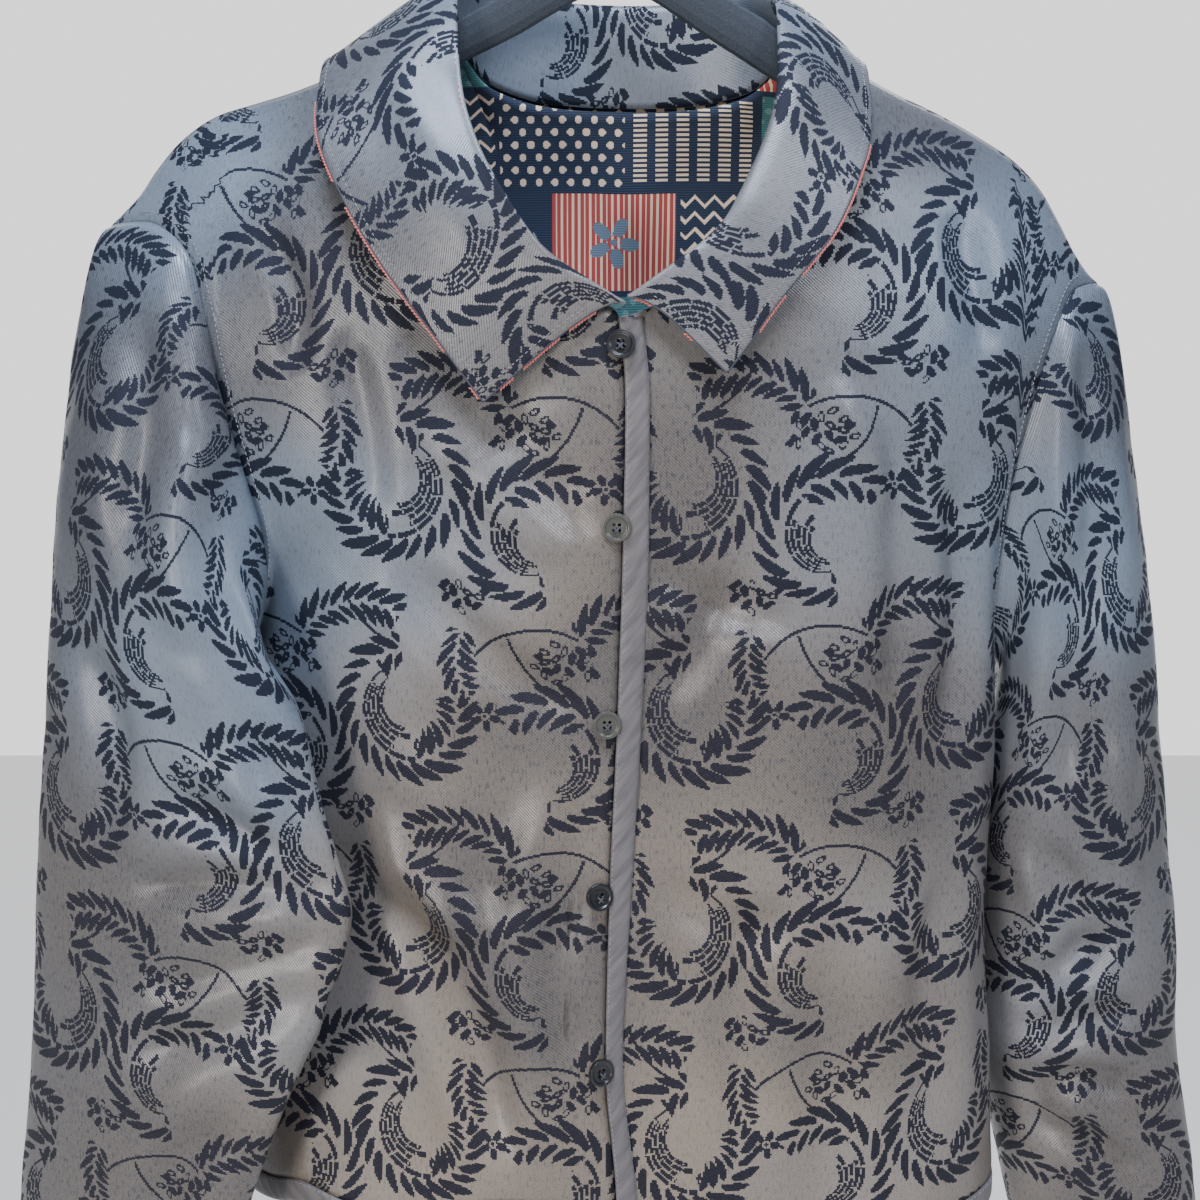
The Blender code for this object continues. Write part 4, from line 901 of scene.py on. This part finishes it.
# A motif's own X and Y, from the nearest copy of its centre
def nearestPlace(group, given):
    half = repeat["width"] / 2
    rise = given["V"] - given["At V"]
    row = (rise / repeat["drop"]).do("ROUND")
    odd = row.wrapped(2.0)
    across = given["U"] * (odd * -2.0 + 1.0) - given["At U"] + odd * half
    return {"X": across.do("WRAP", -half, half), "Y": rise - row * repeat["drop"]}

# How far a point is from a curl's line, how far along it, and its share of the way
def curl(group, given):
    reach = radiusOf(given)
    turn = (given["Y"].do("ARCTAN2", given["X"]) - given["Start"]).wrapped(2 * math.pi)
    away = (reach - given["Radius"] - turn * given["Growth"]) / given["Size"]
    part = turn / given["Span"]
    return {"Far": abs(away) + part.over(1.0) * 1000.0, "Away": away,
            "Along": turn * given["Radius"] / given["Size"] + given["Offset"], "Part": part, "Reach": reach,
            "Turn": turn}

# A fan of broken lines side by side inside a curl, which part towards its end
def comb(group, given):
    turn = (given["Turn"] - given["From"]).wrapped(2 * math.pi)
    part = turn / given["Span"]
    order = (given["Reach"] - given["Radius"] - turn * given["Growth"]) / (given["Gap"] * (part * 0.9 + 0.55))
    order = order + given["Lines"] * 0.5
    line = order.floor()
    luck = luckOf(group, line)
    inside = line.over(-0.5) * line.under(given["Lines"] - 0.5)
    kept = inside * part.over(luck * 0.16) * part.under(luck * -0.25 + 1.0)
    dash = (turn * given["Radius"] / 9.0 + luck * 5.0).fract().under(0.91)
    return {"Mask": kept * dash * abs(order - line - 0.5).under(0.37), "Zone": part.under(1.0)}

# A cluster of loose petals, each turned its own way, whose centres lie in an oval
def flowerCluster(group, given):
    spot = joined(group, given["X"], given["Y"])
    cells = addNode(group, "TexVoronoi", {"Vector": spot, "Scale": 0.168, "Randomness": 0.85},
                    voronoi_dimensions="2D", feature="F1")
    x, y = split(group, cells.outputs["Position"])[:2]
    luck = Signal(addNode(group, "SeparateColor", {0: cells.outputs["Color"]}).outputs[0])
    east, north = (luck * 9.0).do("COSINE"), (luck * 9.0).do("SINE")
    long = ((given["X"] - x) * east + (given["Y"] - y) * north) / (luck * 1.2 + 3.0)
    short = ((given["Y"] - y) * east - (given["X"] - x) * north) / (luck * 0.9 + 1.6)
    petal = long * long + short * short
    oval = (x / given["Wide"]).power(2.0) + (y / given["High"]).power(2.0)
    return {"Mask": petal.under(1.0) * petal.over(luck * -1.0 + 0.5) * oval.under(luck * 0.35 + 0.7)}

# A single bloom with petals round an eye
def bloom(group, given):
    radius = radiusOf(given) / given["Size"]
    petal = abs((given["Y"].do("ARCTAN2", given["X"]) * (given["Petals"] * 0.5) + given["Turn"]).do("COSINE"))
    whole = radius.under(petal.power(0.8) * 0.95 + 0.05) * radius.over(0.26) + radius.under(0.13)
    return {"Mask": whole.least(1.0)}

motifGroups = {motif.__name__: newGroup(label, inputs, motif) for motif, label, inputs in (
    (nearestPlace, "motif place", {"U": 0.0, "V": 0.0, "At U": 0.0, "At V": 0.0}),
    (curl, "curl", {"X": 0.0, "Y": 0.0, "Radius": 30.0, "Growth": 0.0, "Start": 0.0, "Span": 3.0, "Size": 1.0,
                    "Offset": 0.0}),
    (comb, "comb", {"Reach": 0.0, "Turn": 0.0, "From": 0.5, "Radius": 15.0, "Growth": 0.0, "Span": 2.0,
                    "Lines": 4.0, "Gap": 2.6}),
    (flowerCluster, "flower cluster", {"X": 0.0, "Y": 0.0, "Wide": 20.0, "High": 12.0}),
    (bloom, "bloom", {"X": 0.0, "Y": 0.0, "Size": 8.0, "Petals": 5.0, "Turn": 0.0}),
)}

# The scroll design of one half drop, in millimetres and degrees: leafy curls, two of them with a comb of fine
# lines inside, bare stems, oval flower clusters and single blooms.
scrollDesign = {
    "leaf": {"length": 15.0, "width": 7.4, "pitch": 9.0, "slant": 0.74, "bend": 0.012},
    "curls": [
        {"at": (42, 62), "Radius": 33, "Growth": -1.4, "Start": 96, "Span": 286, "Size": 1.0,
         "comb": {"From": 30, "Radius": 22, "Growth": -1.0, "Span": 150, "Lines": 5, "Gap": 3.0}},
        {"at": (120, 32), "Radius": 25, "Growth": 2.4, "Start": -98, "Span": 236, "Size": 0.92,
         "comb": {"From": 6, "Radius": 14, "Growth": 2.4, "Span": 150, "Lines": 5, "Gap": 2.7}},
        {"at": (62, -46), "Radius": 44, "Growth": 0.0, "Start": 38, "Span": 84, "Size": 0.80},
        {"at": (102, 92), "Radius": 34, "Growth": 0.0, "Start": 158, "Span": 62, "Size": 0.66},
    ],
    "stems": [
        {"at": (30, 16), "Radius": 42, "Growth": 0.0, "Start": -64, "Span": 50},
        {"at": (112, 64), "Radius": 44, "Growth": 0.0, "Start": 60, "Span": 82},
        {"at": (150, 118), "Radius": 56, "Growth": 0.0, "Start": 196, "Span": 58},
    ],
    "stem width": 0.85,
    "clusters": [{"at": (126, 90), "Wide": 20, "High": 13}, {"at": (6, 2), "Wide": 14, "High": 11}],
    "blooms": [{"at": (84, 60), "Size": 8.5, "Petals": 5, "Turn": 0.4}],
}

# A motif's settings as node inputs, with its angles in radians
def motifInputs(motif):
    return {label: math.radians(value) if label in ("Start", "Span", "From") else float(value)
            for label, value in motif.items() if label not in ("at", "comb")}

# Slanted leaves in pairs on the curl that is nearest
def drawLeaves(tree, nearest, packed, leaf):
    away, along, part = split(tree, packed)
    out = abs(away)
    side = away.do("SIGN")
    place = along - out * leaf["slant"] - out * out * leaf["bend"]
    place = (place + side * leaf["pitch"] * 0.25) / leaf["pitch"]
    cell = place.floor()
    luck = luckOf(tree, cell * 3.1 + side * 0.7)
    taper = (part * (part * -4.0 + 4.0)).power(0.35) * 0.4 + 0.6
    q = (out - 0.4) / (taper * (luck * 0.3 + 0.8) * leaf["length"])
    body = (q * (q * -4.0 + 4.0)).most(0.0).power(0.8) * (q * -0.35 + 1.15)
    half = body * (luck * 0.25 + 0.42) * leaf["width"]
    shown = abs((place - cell - 0.5) * leaf["pitch"] + luck * 1.4 - 0.7).under(half)
    return shown * nearest.under(500.0)

# Draws the whole design: 1 on the figure and 0 on the ground
def drawDesign(tree, u, v, design):
    def placed(motif):
        at = map(float, motif["at"])
        return useGroup(tree, "nearestPlace", {"U": u, "V": v, **dict(zip(("At U", "At V"), at))})

    def drawn(kind, motif, **more):
        x, y = placed(motif)
        return useGroup(tree, kind, {"X": x, "Y": y, **more, **motifInputs(motif)})

    masks = []
    nearest = packed = None
    for number, motif in enumerate(design["curls"]):
        offset = number * 17 * design["leaf"]["pitch"]
        far, away, along, part, reach, turn = drawn("curl", motif, Offset=offset)
        if "comb" in motif:
            lines, zone = useGroup(tree, "comb", {"Reach": reach, "Turn": turn, **motifInputs(motif["comb"])})
            masks.append(lines)
            far = far + zone * away.under(0.0) * 1000.0
        here = joined(tree, away, along, part)
        if nearest is None:
            nearest, packed = far, here
        else:
            inputs = {0: far.under(nearest), 4: packed, 5: here}
            packed = addNode(tree, "Mix", inputs, data_type="VECTOR").outputs[1]
            nearest = nearest.least(far)
    masks.append(drawLeaves(tree, nearest, packed, design["leaf"]))
    masks += [drawn("curl", motif)[0].under(design["stem width"]) for motif in design["stems"]]
    masks += [drawn("bloom", motif)[0] for motif in design["blooms"]]
    # Both clusters share one set of petals, drawn round whichever is nearer.
    one, two = design["clusters"]
    first, second = placed(one), placed(two)
    nearer = (first[0] * first[0] + first[1] * first[1]).under(second[0] * second[0] + second[1] * second[1])
    x, y = [second[axis] + (first[axis] - second[axis]) * nearer for axis in (0, 1)]
    size = {side: nearer * float(one[side] - two[side]) + float(two[side]) for side in ("Wide", "High")}
    masks.append(useGroup(tree, "flowerCluster", {"X": x, "Y": y, **size})[0])
    whole = masks[0]
    for mask in masks[1:]:
        whole = whole.most(mask)
    return whole

# The piece's own cloth coordinates in millimetres, in whole threads, so that edges step as a weave's do
def clothPlace(tree, thread, pick):
    u, v = [part * 1000.0 for part in split(tree, addNode(tree, "UVMap", uv_map="Cloth").outputs[0])[:2]]
    return u, v, ((u / thread).floor() + 0.5) * thread, ((v / pick).floor() + 0.5) * pick

# An empty material with its shader
def newMaterial(name, **values):
    material = bpy.data.materials.new(name)
    material.use_nodes = True
    tree = material.node_tree
    tree.nodes.clear()
    values = {label.replace("_", " "): value for label, value in values.items()}
    shader = addNode(tree, "BsdfPrincipled", values)
    addNode(tree, "OutputMaterial", {"Surface": shader.outputs[0]})
    return material, tree, shader

# A mix of two colours or colour outputs
def mixColours(tree, factor, first, second):
    return addNode(tree, "Mix", {0: factor, 6: first, 7: second}, data_type="RGBA").outputs[2]

# The place on the finished object
def objectPlace(tree):
    return addNode(tree, "TexCoord").outputs["Object"]

def noiseOf(tree, place, scale, detail=2.0):
    return Signal(addNode(tree, "TexNoise", {"Vector": place, "Scale": scale, "Detail": detail}).outputs[0])

def bumpOf(tree, height, strength, distance, **more):
    inputs = {"Height": height, "Strength": strength, "Distance": distance, **more}
    return addNode(tree, "Bump", inputs).outputs[0]

# Spreads a signal's range from low to high onto 0 to 1
def rampOf(signal, low, high):
    return ((signal - low) / (high - low)).most(0.0).least(1.0)

# Satin jacquard: a warp satin ground that catches soft light and navy figures in a duller diagonal weave
def makeJacquard(design):
    material, tree, shader = newMaterial("Satin jacquard with woven navy scrolls", Specular_IOR_Level=0.6)
    u, v, warp, weft = clothPlace(tree, repeat["thread"], repeat["pick"])
    figure = drawDesign(tree, warp, weft, design)
    spot = objectPlace(tree)
    drift = noiseOf(tree, spot, 8.0, 0.0)
    x, y, z = split(tree, spot)
    # Painted sky reflection: the satin is painted blue-grey higher up and towards the sides, on the shoulders
    # and collar, and taupe lower down.
    paintedSkyReflection = rampOf(z * 1.1 + abs(x) * 2.0 + drift * 0.9, -0.02, 0.62)
    # Single threads differ a little in shade, and the satin's fine twill is drawn at twice its real spacing.
    flecks = Signal(addNode(tree, "TexWhiteNoise", {"Vector": joined(tree, warp * 0.9, weft * 0.22)},
                            noise_dimensions="2D").outputs["Value"])
    slub = noiseOf(tree, joined(tree, u * 0.9, v * 0.22), 1.0, 0.0)
    rib = abs(((u + v * 1.1) / 1.9).fract() - 0.5) * 2.0
    # Taupe satin, turned blue-grey where the painted sky reflection falls.
    ground = mixColours(tree, paintedSkyReflection, "948778", "73808f")
    # Painted shade: soft dark patches of the drift noise, about ten centimetres across, darken the ground as
    # the satin's shaded folds would; the twill, the flecks and the slubs are the weave's own tone.
    shade = rampOf(drift, 0.64, 0.32) * 0.50 + rib * 0.30 + flecks * 0.14 + rampOf(slub, 0.55, 0.95) * 0.4
    ground = mixColours(tree, shade, ground, "3b3d43")
    # The navy figure has a steeper diagonal, with lighter floats in it.
    floats = ((u * 0.55 - v) / 1.35).fract().over(0.62)
    navy = mixColours(tree, floats * 0.55 + flecks * 0.25, "1f1e24", "3b3a42")
    # The navy figure is painted bluer by the same painted sky reflection.
    navy = mixColours(tree, paintedSkyReflection * 0.8, navy, "1d2431")
    feed(shader, {"Base Color": mixColours(tree, figure, ground, navy),
                  "Specular Tint": mixColours(tree, figure, "f2f5fa", "565e6e"),
                  "Roughness": figure * 0.26 + 0.33, "Normal": bumpOf(tree, rib, 0.4, 0.0002)})
    return material

# Patchwork side of the double weave: ribbed navy with cream, red, teal and grey-blue blocks
def makePatchwork():
    material, tree, shader = newMaterial("Matt double weave in a patchwork of woven blocks",
                                         Roughness=0.72, Sheen_Weight=0.15, Specular_IOR_Level=0.25)
    u, v, warp, weft = clothPlace(tree, 0.7, 0.7)
    block = {"wide": 74.0, "high": 58.0}
    row = (weft / block["high"]).floor()
    column = ((warp + row * 29.0) / block["wide"]).floor()
    x = (warp + row * 29.0) - (column + 0.5) * block["wide"]
    y = weft - (row + 0.5) * block["high"]
    pick = (column + row * 2.0 + 1.0).wrapped(6.0)
    rib = (weft / 1.4).fract().over(0.5)
    navy = mixColours(tree, rib * 0.5, "1d2940", "3d4b5f")
    # Cream bars ruled across, broken by navy gaps.
    bars = abs((x / 12.0).fract() - 0.5).under(0.30) * (weft / 2.8).fract().under(0.62) * abs(y).under(24.0)
    # Offset rows of dots.
    dotX = ((x + (y / 7.0).floor() * 4.5) / 9.0).fract() * 9.0 - 4.5
    dotY = (y / 7.0).fract() * 7.0 - 3.5
    dots = (dotX * dotX + dotY * dotY).under(4.2)
    # A zigzag wave of two strands.
    wave = abs((x / 11.0).fract() - 0.5) * 11.0
    zigzag = abs((y + wave + 60.0).wrapped(9.0) - 4.5).under(1.15)
    # A bloom with sprigs to both sides.
    petals = useGroup(tree, "bloom", {"X": x, "Y": y, "Size": 15.0, "Petals": 5.0, "Turn": 0.3})[0]
    far, *place = useGroup(tree, "curl", {"X": x, "Y": y + 30.0, "Radius": 34.0, "Growth": 0.0, "Start": 0.35,
                                          "Span": 2.4, "Size": 0.75})[:4]
    sprig = drawLeaves(tree, far, joined(tree, *place), scrollDesign["leaf"])
    cream = mixColours(tree, rib * 0.25, "eed9c0", "cbb59d")
    red = mixColours(tree, (warp / 3.2).fract().under(0.34), "b04a46", "ecd3b8")
    blue = mixColours(tree, rib * 0.5, "5f7285", "8496a6")
    kinds = [mixColours(tree, dots, navy, cream), mixColours(tree, bars, navy, cream),
             mixColours(tree, rib * 0.4 + dots * 0.5, "2f6a70", "7fa3a2"),
             mixColours(tree, sprig, navy, "8a9aa8"), mixColours(tree, petals, red, blue)]
    colour = mixColours(tree, zigzag, navy, cream)
    for number, kind in reversed(list(enumerate(kinds))):
        colour = mixColours(tree, pick.under(number + 0.5), colour, kind)
    border = abs(x).over(block["wide"] / 2 - 1.6).most(abs(y).over(block["high"] / 2 - 1.6))
    colour = mixColours(tree, border, colour, navy)
    feed(shader, {"Base Color": colour, "Normal": bumpOf(tree, rib, 0.3, 0.0003)})
    return material

# Bias-cut satin: a smooth grey band with slanting puckers, whose colour is painted lighter on their ridges as
# painted highlight and darker in their hollows as painted shade
def makeBinding():
    material, tree, shader = newMaterial("Soft satin bias binding",
                                         Roughness=0.46, Sheen_Weight=0.15, Specular_IOR_Level=0.4)
    u, v, warp, weft = clothPlace(tree, 0.5, 0.5)
    pucker = noiseOf(tree, joined(tree, (u + v * 1.3) * 0.16, (v - u) * 0.03), 1.0)
    # Painted highlight and shade: the colour follows the puckers' height, lighter on their ridges.
    colour = mixColours(tree, rampOf(pucker, 0.3, 0.7), "555254", "6f6b6c")
    drift = noiseOf(tree, objectPlace(tree), 9.0)
    colour = mixColours(tree, rampOf(drift, 0.35, 0.75) * 0.4, colour, "5c5a5f")
    fine = bumpOf(tree, ((u - v) / 0.8).fract(), 0.08, 0.0002)
    feed(shader, {"Base Color": colour, "Normal": bumpOf(tree, pucker, 0.5, 0.0016, Normal=fine)})
    return material

# Plain looks: their finish, their colour and the rest of the shader's values
plainLooks = {
    "rim": ("Cut edge of the double weave, dull blue-grey", "565d6a", {"Roughness": 0.8}),
    "button": ("Semi-gloss cast resin button in olive grey", "4f4f4a",
               {"Roughness": 0.26, "Coat Weight": 0.35, "Coat Roughness": 0.18}),
    # The same resin button darkened as painted shade, for the buttons that sit in shadow under the collar or
    # tilt into their buttonholes.
    "button in painted shade": ("Semi-gloss cast resin button darkened as painted shade", "1c1d21",
                    {"Roughness": 0.3, "Coat Weight": 0.3, "Coat Roughness": 0.2}),
    "coral yarn": ("Fuzzy coral yarn oversewn at the edge", "cf6a5f",
                   {"Roughness": 0.8, "Sheen Weight": 0.4}),
    "thread": ("Matt spun sewing thread in grey", "8d9097", {"Roughness": 0.75, "Sheen Weight": 0.3}),
    "dark thread": ("Matt spun button thread in slate", "43474f", {"Roughness": 0.8}),
    "chrome": ("Bright chromed steel wire", "d5d7da", {"Roughness": 0.12, "Metallic": 1.0}),
}

def makePlain(label, code, values):
    material, tree, shader = newMaterial(label, **values)
    shade = noiseOf(tree, objectPlace(tree), 160.0)
    feed(shader, {"Base Color": mixColours(tree, shade * 0.35, code, linear(code, 0.55))})
    return material

# Flocked velvet: a dark pile that brightens at its edges
def makeVelvet():
    material, tree, shader = newMaterial("Flocked velvet on the hanger's bar",
                                         Roughness=0.9, Sheen_Weight=0.9, Sheen_Roughness=0.4,
                                         Sheen_Tint="b4c4d8", Specular_IOR_Level=0.15)
    pile = noiseOf(tree, objectPlace(tree), 900.0, 3.0)
    colour = mixColours(tree, pile, "292d33", "444a52")
    feed(shader, {"Base Color": colour, "Normal": bumpOf(tree, pile, 0.4, 0.0006)})
    return material

looks = {name: makePlain(*settings) for name, settings in plainLooks.items()}
looks.update({"jacquard": makeJacquard(scrollDesign), "patchwork": makePatchwork(), "binding": makeBinding(),
              "velvet": makeVelvet()})
print("materials made")

dressed = {}
for seed, piece in enumerate(layOut()):
    dress(piece, 3.7 * seed + 1.0)
    inner, rim = ["binding"] * 2 if piece["look"] == "binding" else ("patchwork", "rim")
    piece["made"] = makeShell(piece, [looks[piece["look"]], looks[inner], looks[rim]])
    dressed[piece["name"]] = piece
print("cloth made")

# A row of stitches: short slim beads of thread pressed into the cloth
def stitchRow(name, points, facings, material, slotName, step=0.0030, length=0.0021, thick=0.00028, turn=0.0):
    lengths = lengthsAlong(points)
    stops = np.arange(step * 0.5, lengths[-1], step)
    spots, outs, ahead = [pointsAt(places, lengths, values) for places, values in (
        (stops, points), (stops, facings), (stops + 0.0005, points))]
    corners, faces = [], []
    for spot, out, way in zip(spots, unit(outs), ahead - spots):
        if np.linalg.norm(way) < 1e-7:
            continue
        way = unit(way)
        way = way * math.cos(turn) + np.cross(out, way) * math.sin(turn)
        side = np.cross(out, way)
        first = len(corners)
        corners.append(spot - way * length / 2 - out * thick * 0.6)
        for along in (-0.3, 0.3):
            for angle in np.arange(5) * (2 * math.pi / 5):
                corners.append(spot + way * length * along + (side * math.cos(angle) + out * math.sin(angle))
                               * thick * 0.85 + out * thick * 0.45)
        corners.append(spot + way * length / 2 - out * thick * 0.6)
        for k in range(5):
            n = (k + 1) % 5
            faces += [(first, first + 1 + n, first + 1 + k),
                      (first + 1 + k, first + 1 + n, first + 6 + n, first + 6 + k),
                      (first + 11, first + 6 + k, first + 6 + n)]
    return addMesh(name, corners, faces, [looks[material]])

# A line inside a piece's border, at a distance from it: the points and their facings
def insetLine(piece, side, away):
    fields = [piece["surface"], piece["facing"]]
    if side in ("top", "bottom"):
        fields = [np.swapaxes(field, 0, 1) for field in fields]
    if side in ("last", "bottom"):
        fields = [field[:, ::-1] for field in fields]
    far = walked(fields[0], 1)
    return [np.array([pointsAt([away], lengths, line)[0] for line, lengths in zip(field, far)])
            for field in fields]

def topstitch(name, owner, side, away, slotName, kept=slice(None), **settings):
    line, out = insetLine(dressed[owner], side, away)
    stitchRow(name, line[kept], out[kept], "thread", slotName, **settings)

# Topstitching along the collar's edges, the armholes and the bindings' seams.
topstitch("collar_topstitching", "collar", "last", 0.0042, "collar_cloth", slice(3, -3))
for side, name in (("top", "right"), ("bottom", "left")):
    topstitch("collar_front_topstitching_" + name, "collar", side, 0.0042, "collar_cloth", slice(20, -3))
for name in ("front_left", "front_right"):
    topstitch(name + "_armhole_topstitching", name, "last", 0.0062, "shell_cloth", slice(4, 58))
for name, side in (("front_binding", "first"), ("hem_binding_front_right", "top"),
                   ("hem_binding_front_left", "top"), ("hem_binding_back", "top")):
    topstitch(name + "_stitching", name, side, 0.0012, "binding", thick=0.00022)

# Coral yarn of the inner weave that peeps out in patches under the collar's edge, as shares of each line.
yarnPatches = {
    "right_front": [(0.36, 0.50), (0.58, 0.76), (0.84, 0.90)],
    "right_edge": [(0.02, 0.05), (0.16, 0.42), (0.47, 0.62)],
    "left_front": [(0.30, 0.42), (0.70, 0.74)],
    "left_edge": [(0.14, 0.20), (0.27, 0.56)],
}
half = dressed["collar"]["surface"].shape[0] // 2
yarnLines = {
    "right_front": ((0, slice(None)), (1, slice(None))), "left_front": ((-1, slice(None)), (-2, slice(None))),
    "right_edge": ((slice(half), -1), (slice(half), -2)),
    "left_edge": ((slice(None, half, -1), -1), (slice(None, half, -1), -2)),
}
for name, (rim, inside) in yarnLines.items():
    cloth, facings = dressed["collar"]["surface"], dressed["collar"]["facing"][rim]
    line = cloth[rim] - facings * 0.0016 + unit(cloth[rim] - cloth[inside]) * 0.0013
    for number, (start, end) in enumerate(yarnPatches[name]):
        part = slice(int(start * (len(line) - 1)), int(end * (len(line) - 1)) + 2)
        stitchRow(f"collar_yarn_{name}_{number}", line[part], facings[part], "coral yarn", "collar_cloth",
                  step=0.0019, length=0.0030, thick=0.00065, turn=0.55)
print("stitches made")

# Where a button sits: its foot on the cloth, and the frame that it faces along
def buttonFrame(button):
    x, z = button["x"], button["z"]
    lift = float(overlapLift(x))
    here, right, above = [onBody("front", x + east, z + up, lift)
                          for east, up in ((0, 0), (0.004, 0), (0, 0.004))]
    right = unit(right - here)
    out = unit(np.cross(right, above - here))
    above = np.cross(out, right)
    lean, turn = math.radians(button["lean"]), math.radians(button["turn"])
    axis = unit(out * math.cos(lean) * math.cos(turn) + above * math.sin(lean) + right * math.sin(turn))
    tilt = math.acos(min(1.0, float(np.dot(axis, out))))
    first = unit(np.cross(above, axis))
    foot = here + out * (button["seat"] + buttonRadius * math.sin(tilt))
    return Matrix.Translation(Vector(foot)) @ Matrix(np.stack([first, np.cross(axis, first), axis],
                                                              axis=1).tolist()).to_4x4()

# A primitive as the active object, for the edits that follow
def primitive(operator, name, **settings):
    bpy.ops.object.select_all(action="DESELECT")
    operator(**settings)
    made = bpy.context.object
    made.name = name
    return made

# Applies a modifier to the active object
def applied(thing, name, kind, **settings):
    modifier = thing.modifiers.new(name, kind)
    for label, value in settings.items():
        setattr(modifier, label, value)
    bpy.ops.object.modifier_apply(modifier=name)

buttonDetail = {
    "rings": [(0.0006, 0.0), (0.0009, 0.0), (0.0007, -0.00075), (0.0006, 0.0)],
    "hole radius": 0.00085, "hole away": 0.0020, "edge": 0.00035, "strand": (0.00055, 0.00035), "bow": 0.0006,
}

# A four-hole button: a disc with a raised rim, a dished middle and drilled holes
def makeButton(number, button):
    away = buttonDetail["hole away"]
    body = primitive(bpy.ops.mesh.primitive_cylinder_add, f"button_disc_{number}", vertices=48,
                     radius=buttonRadius, depth=buttonThickness, location=(0, 0, buttonThickness / 2),
                     end_fill_type="NGON")
    bpy.ops.object.mode_set(mode="EDIT")
    bpy.ops.mesh.select_all(action="DESELECT")
    bpy.ops.object.mode_set(mode="OBJECT")
    max(body.data.polygons, key=lambda face: face.center.z).select = True
    bpy.ops.object.mode_set(mode="EDIT")
    bpy.ops.mesh.select_mode(type="FACE")
    for thickness, rise in buttonDetail["rings"]:
        bpy.ops.mesh.inset(thickness=thickness, depth=rise)
    bpy.ops.object.mode_set(mode="OBJECT")
    for angle in (math.pi / 4 + k * math.pi / 2 for k in range(4)):
        drill = primitive(bpy.ops.mesh.primitive_cylinder_add, "drill", vertices=16, depth=0.008,
                          radius=buttonDetail["hole radius"],
                          location=(away * math.cos(angle), away * math.sin(angle), 0.0015))
        bpy.ops.object.select_all(action="DESELECT")
        bpy.context.view_layer.objects.active = body
        body.select_set(True)
        applied(body, "Hole", "BOOLEAN", operation="DIFFERENCE", object=drill)
        bpy.data.objects.remove(drill)
    applied(body, "Soft edges", "BEVEL", width=buttonDetail["edge"], segments=3, limit_method="ANGLE",
            angle_limit=math.radians(40))
    bpy.ops.object.shade_smooth_by_angle(angle=math.radians(35))
    frameOf = buttonFrame(button)
    body.data.transform(frameOf)
    body.data.materials.clear()
    # Buttons 2 and 3 take the olive grey; the rest take the copy darkened as painted shade.
    body.data.materials.append(looks["button" if number in (2, 3) else "button in painted shade"])
    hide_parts(f"button_{number}")
    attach(body, "root")
    # Two crossed strands of thread through the holes.
    points, faces = [], []
    for angle in (math.pi / 4, 3 * math.pi / 4):
        start, end = [Vector((way * away * math.cos(angle), way * away * math.sin(angle), 0))
                      for way in (-1, 1)]
        low, bow = buttonThickness - 0.0007, buttonDetail["bow"]
        path = [start.lerp(end, t) + Vector((0, 0, low + bow * math.sin(math.pi * t)))
                for t in (0.0, 0.12, 0.3, 0.5, 0.7, 0.88, 1.0)]
        path = [path[0] - Vector((0, 0, 0.0009))] + path + [path[-1] - Vector((0, 0, 0.0009))]
        side = (path[-2] - path[1]).normalized().cross(Vector((0, 0, 1)))
        first = len(points)
        wide, high = buttonDetail["strand"]
        for spot in path:
            for turn in (2 * math.pi * k / 8 for k in range(8)):
                around = side * wide * math.cos(turn) + Vector((0, 0, high * math.sin(turn)))
                points.append(frameOf @ (spot + around))
        for a in range(first, len(points) - 8, 8):
            faces += [(a + k, a + (k + 1) % 8, a + 8 + (k + 1) % 8, a + 8 + k) for k in range(8)]
        faces += [tuple(first + k for k in reversed(range(8))), tuple(len(points) - 8 + k for k in range(8))]
    addMesh(f"button_thread_{number}", points, faces, [looks["dark thread"]])

for number, button in enumerate(buttonPlaces, 1):
    makeButton(number, button)
print("buttons made")

# The hanger keeps its CAD form under a flocked skin.
for name, look in (("hanger", "velvet"), ("hanger_hook", "chrome")):
    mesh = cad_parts[name].data
    mesh.materials.clear()
    mesh.materials.append(looks[look])
    mesh.polygons.foreach_set("use_smooth", [True] * len(mesh.polygons))
print("hanger finished")

# A white wall behind and a pale floor below
stageParts = {
    "floor": ("Matt white paper floor", "b4b4b4", 0.45, {"size": 14.0, "location": (0, 0, -1.30)}),
    "backdrop": ("White paper lit from behind", "101010", 1.5,
                 {"size": 5.0, "location": (0, 2.6, 0.6), "rotation": (math.radians(90), 0, 0)}),
}
for name, (label, colour, glow, place) in stageParts.items():
    thing = primitive(bpy.ops.mesh.primitive_plane_add, name, **place)
    thing.data.materials.append(newMaterial(label, Roughness=0.9, Base_Color=colour, Specular_IOR_Level=0.0,
                                            Emission_Color="ffffff", Emission_Strength=glow)[0])

# A cool window above, a front key and a weaker right-hand light, and a soft light from behind: each light's
# place, aim, size, power and colour
lights = {
    "sky window": ((-0.1, -0.85, 1.5), (0, 0, -0.3), (0.9, 0.6), 74, "e0e9fb"),
    "front key": ((-1.3, -2.2, -0.1), (0, 0, -0.5), (0.6, 0.8), 36, "fff6ec"),
    "right front": ((1.3, -1.7, 0.9), (0, 0, -0.2), (0.5, 0.6), 26, "f2f5ff"),
    "soft back light": ((0.5, 2.1, 0.9), (0, 0, -0.4), (1.2, 1.2), 16, "eef2ff"),
}
for name, (place, aim, size, power, colour) in lights.items():
    lamp = bpy.data.lights.new(name, "AREA")
    lamp.shape = "RECTANGLE"
    lamp.size, lamp.size_y = size
    lamp.energy = power
    lamp.color = linear(colour)[:3]
    holder = bpy.data.objects.new(name, lamp)
    bpy.context.scene.collection.objects.link(holder)
    holder.location = place
    holder.rotation_euler = (Vector(aim) - Vector(place)).to_track_quat("-Z", "Y").to_euler()
world = bpy.data.worlds.new("pale room")
bpy.context.scene.world = world
world.use_nodes = True
feed(world.node_tree.nodes["Background"], {"Color": "f4f7ff", "Strength": 0.11})
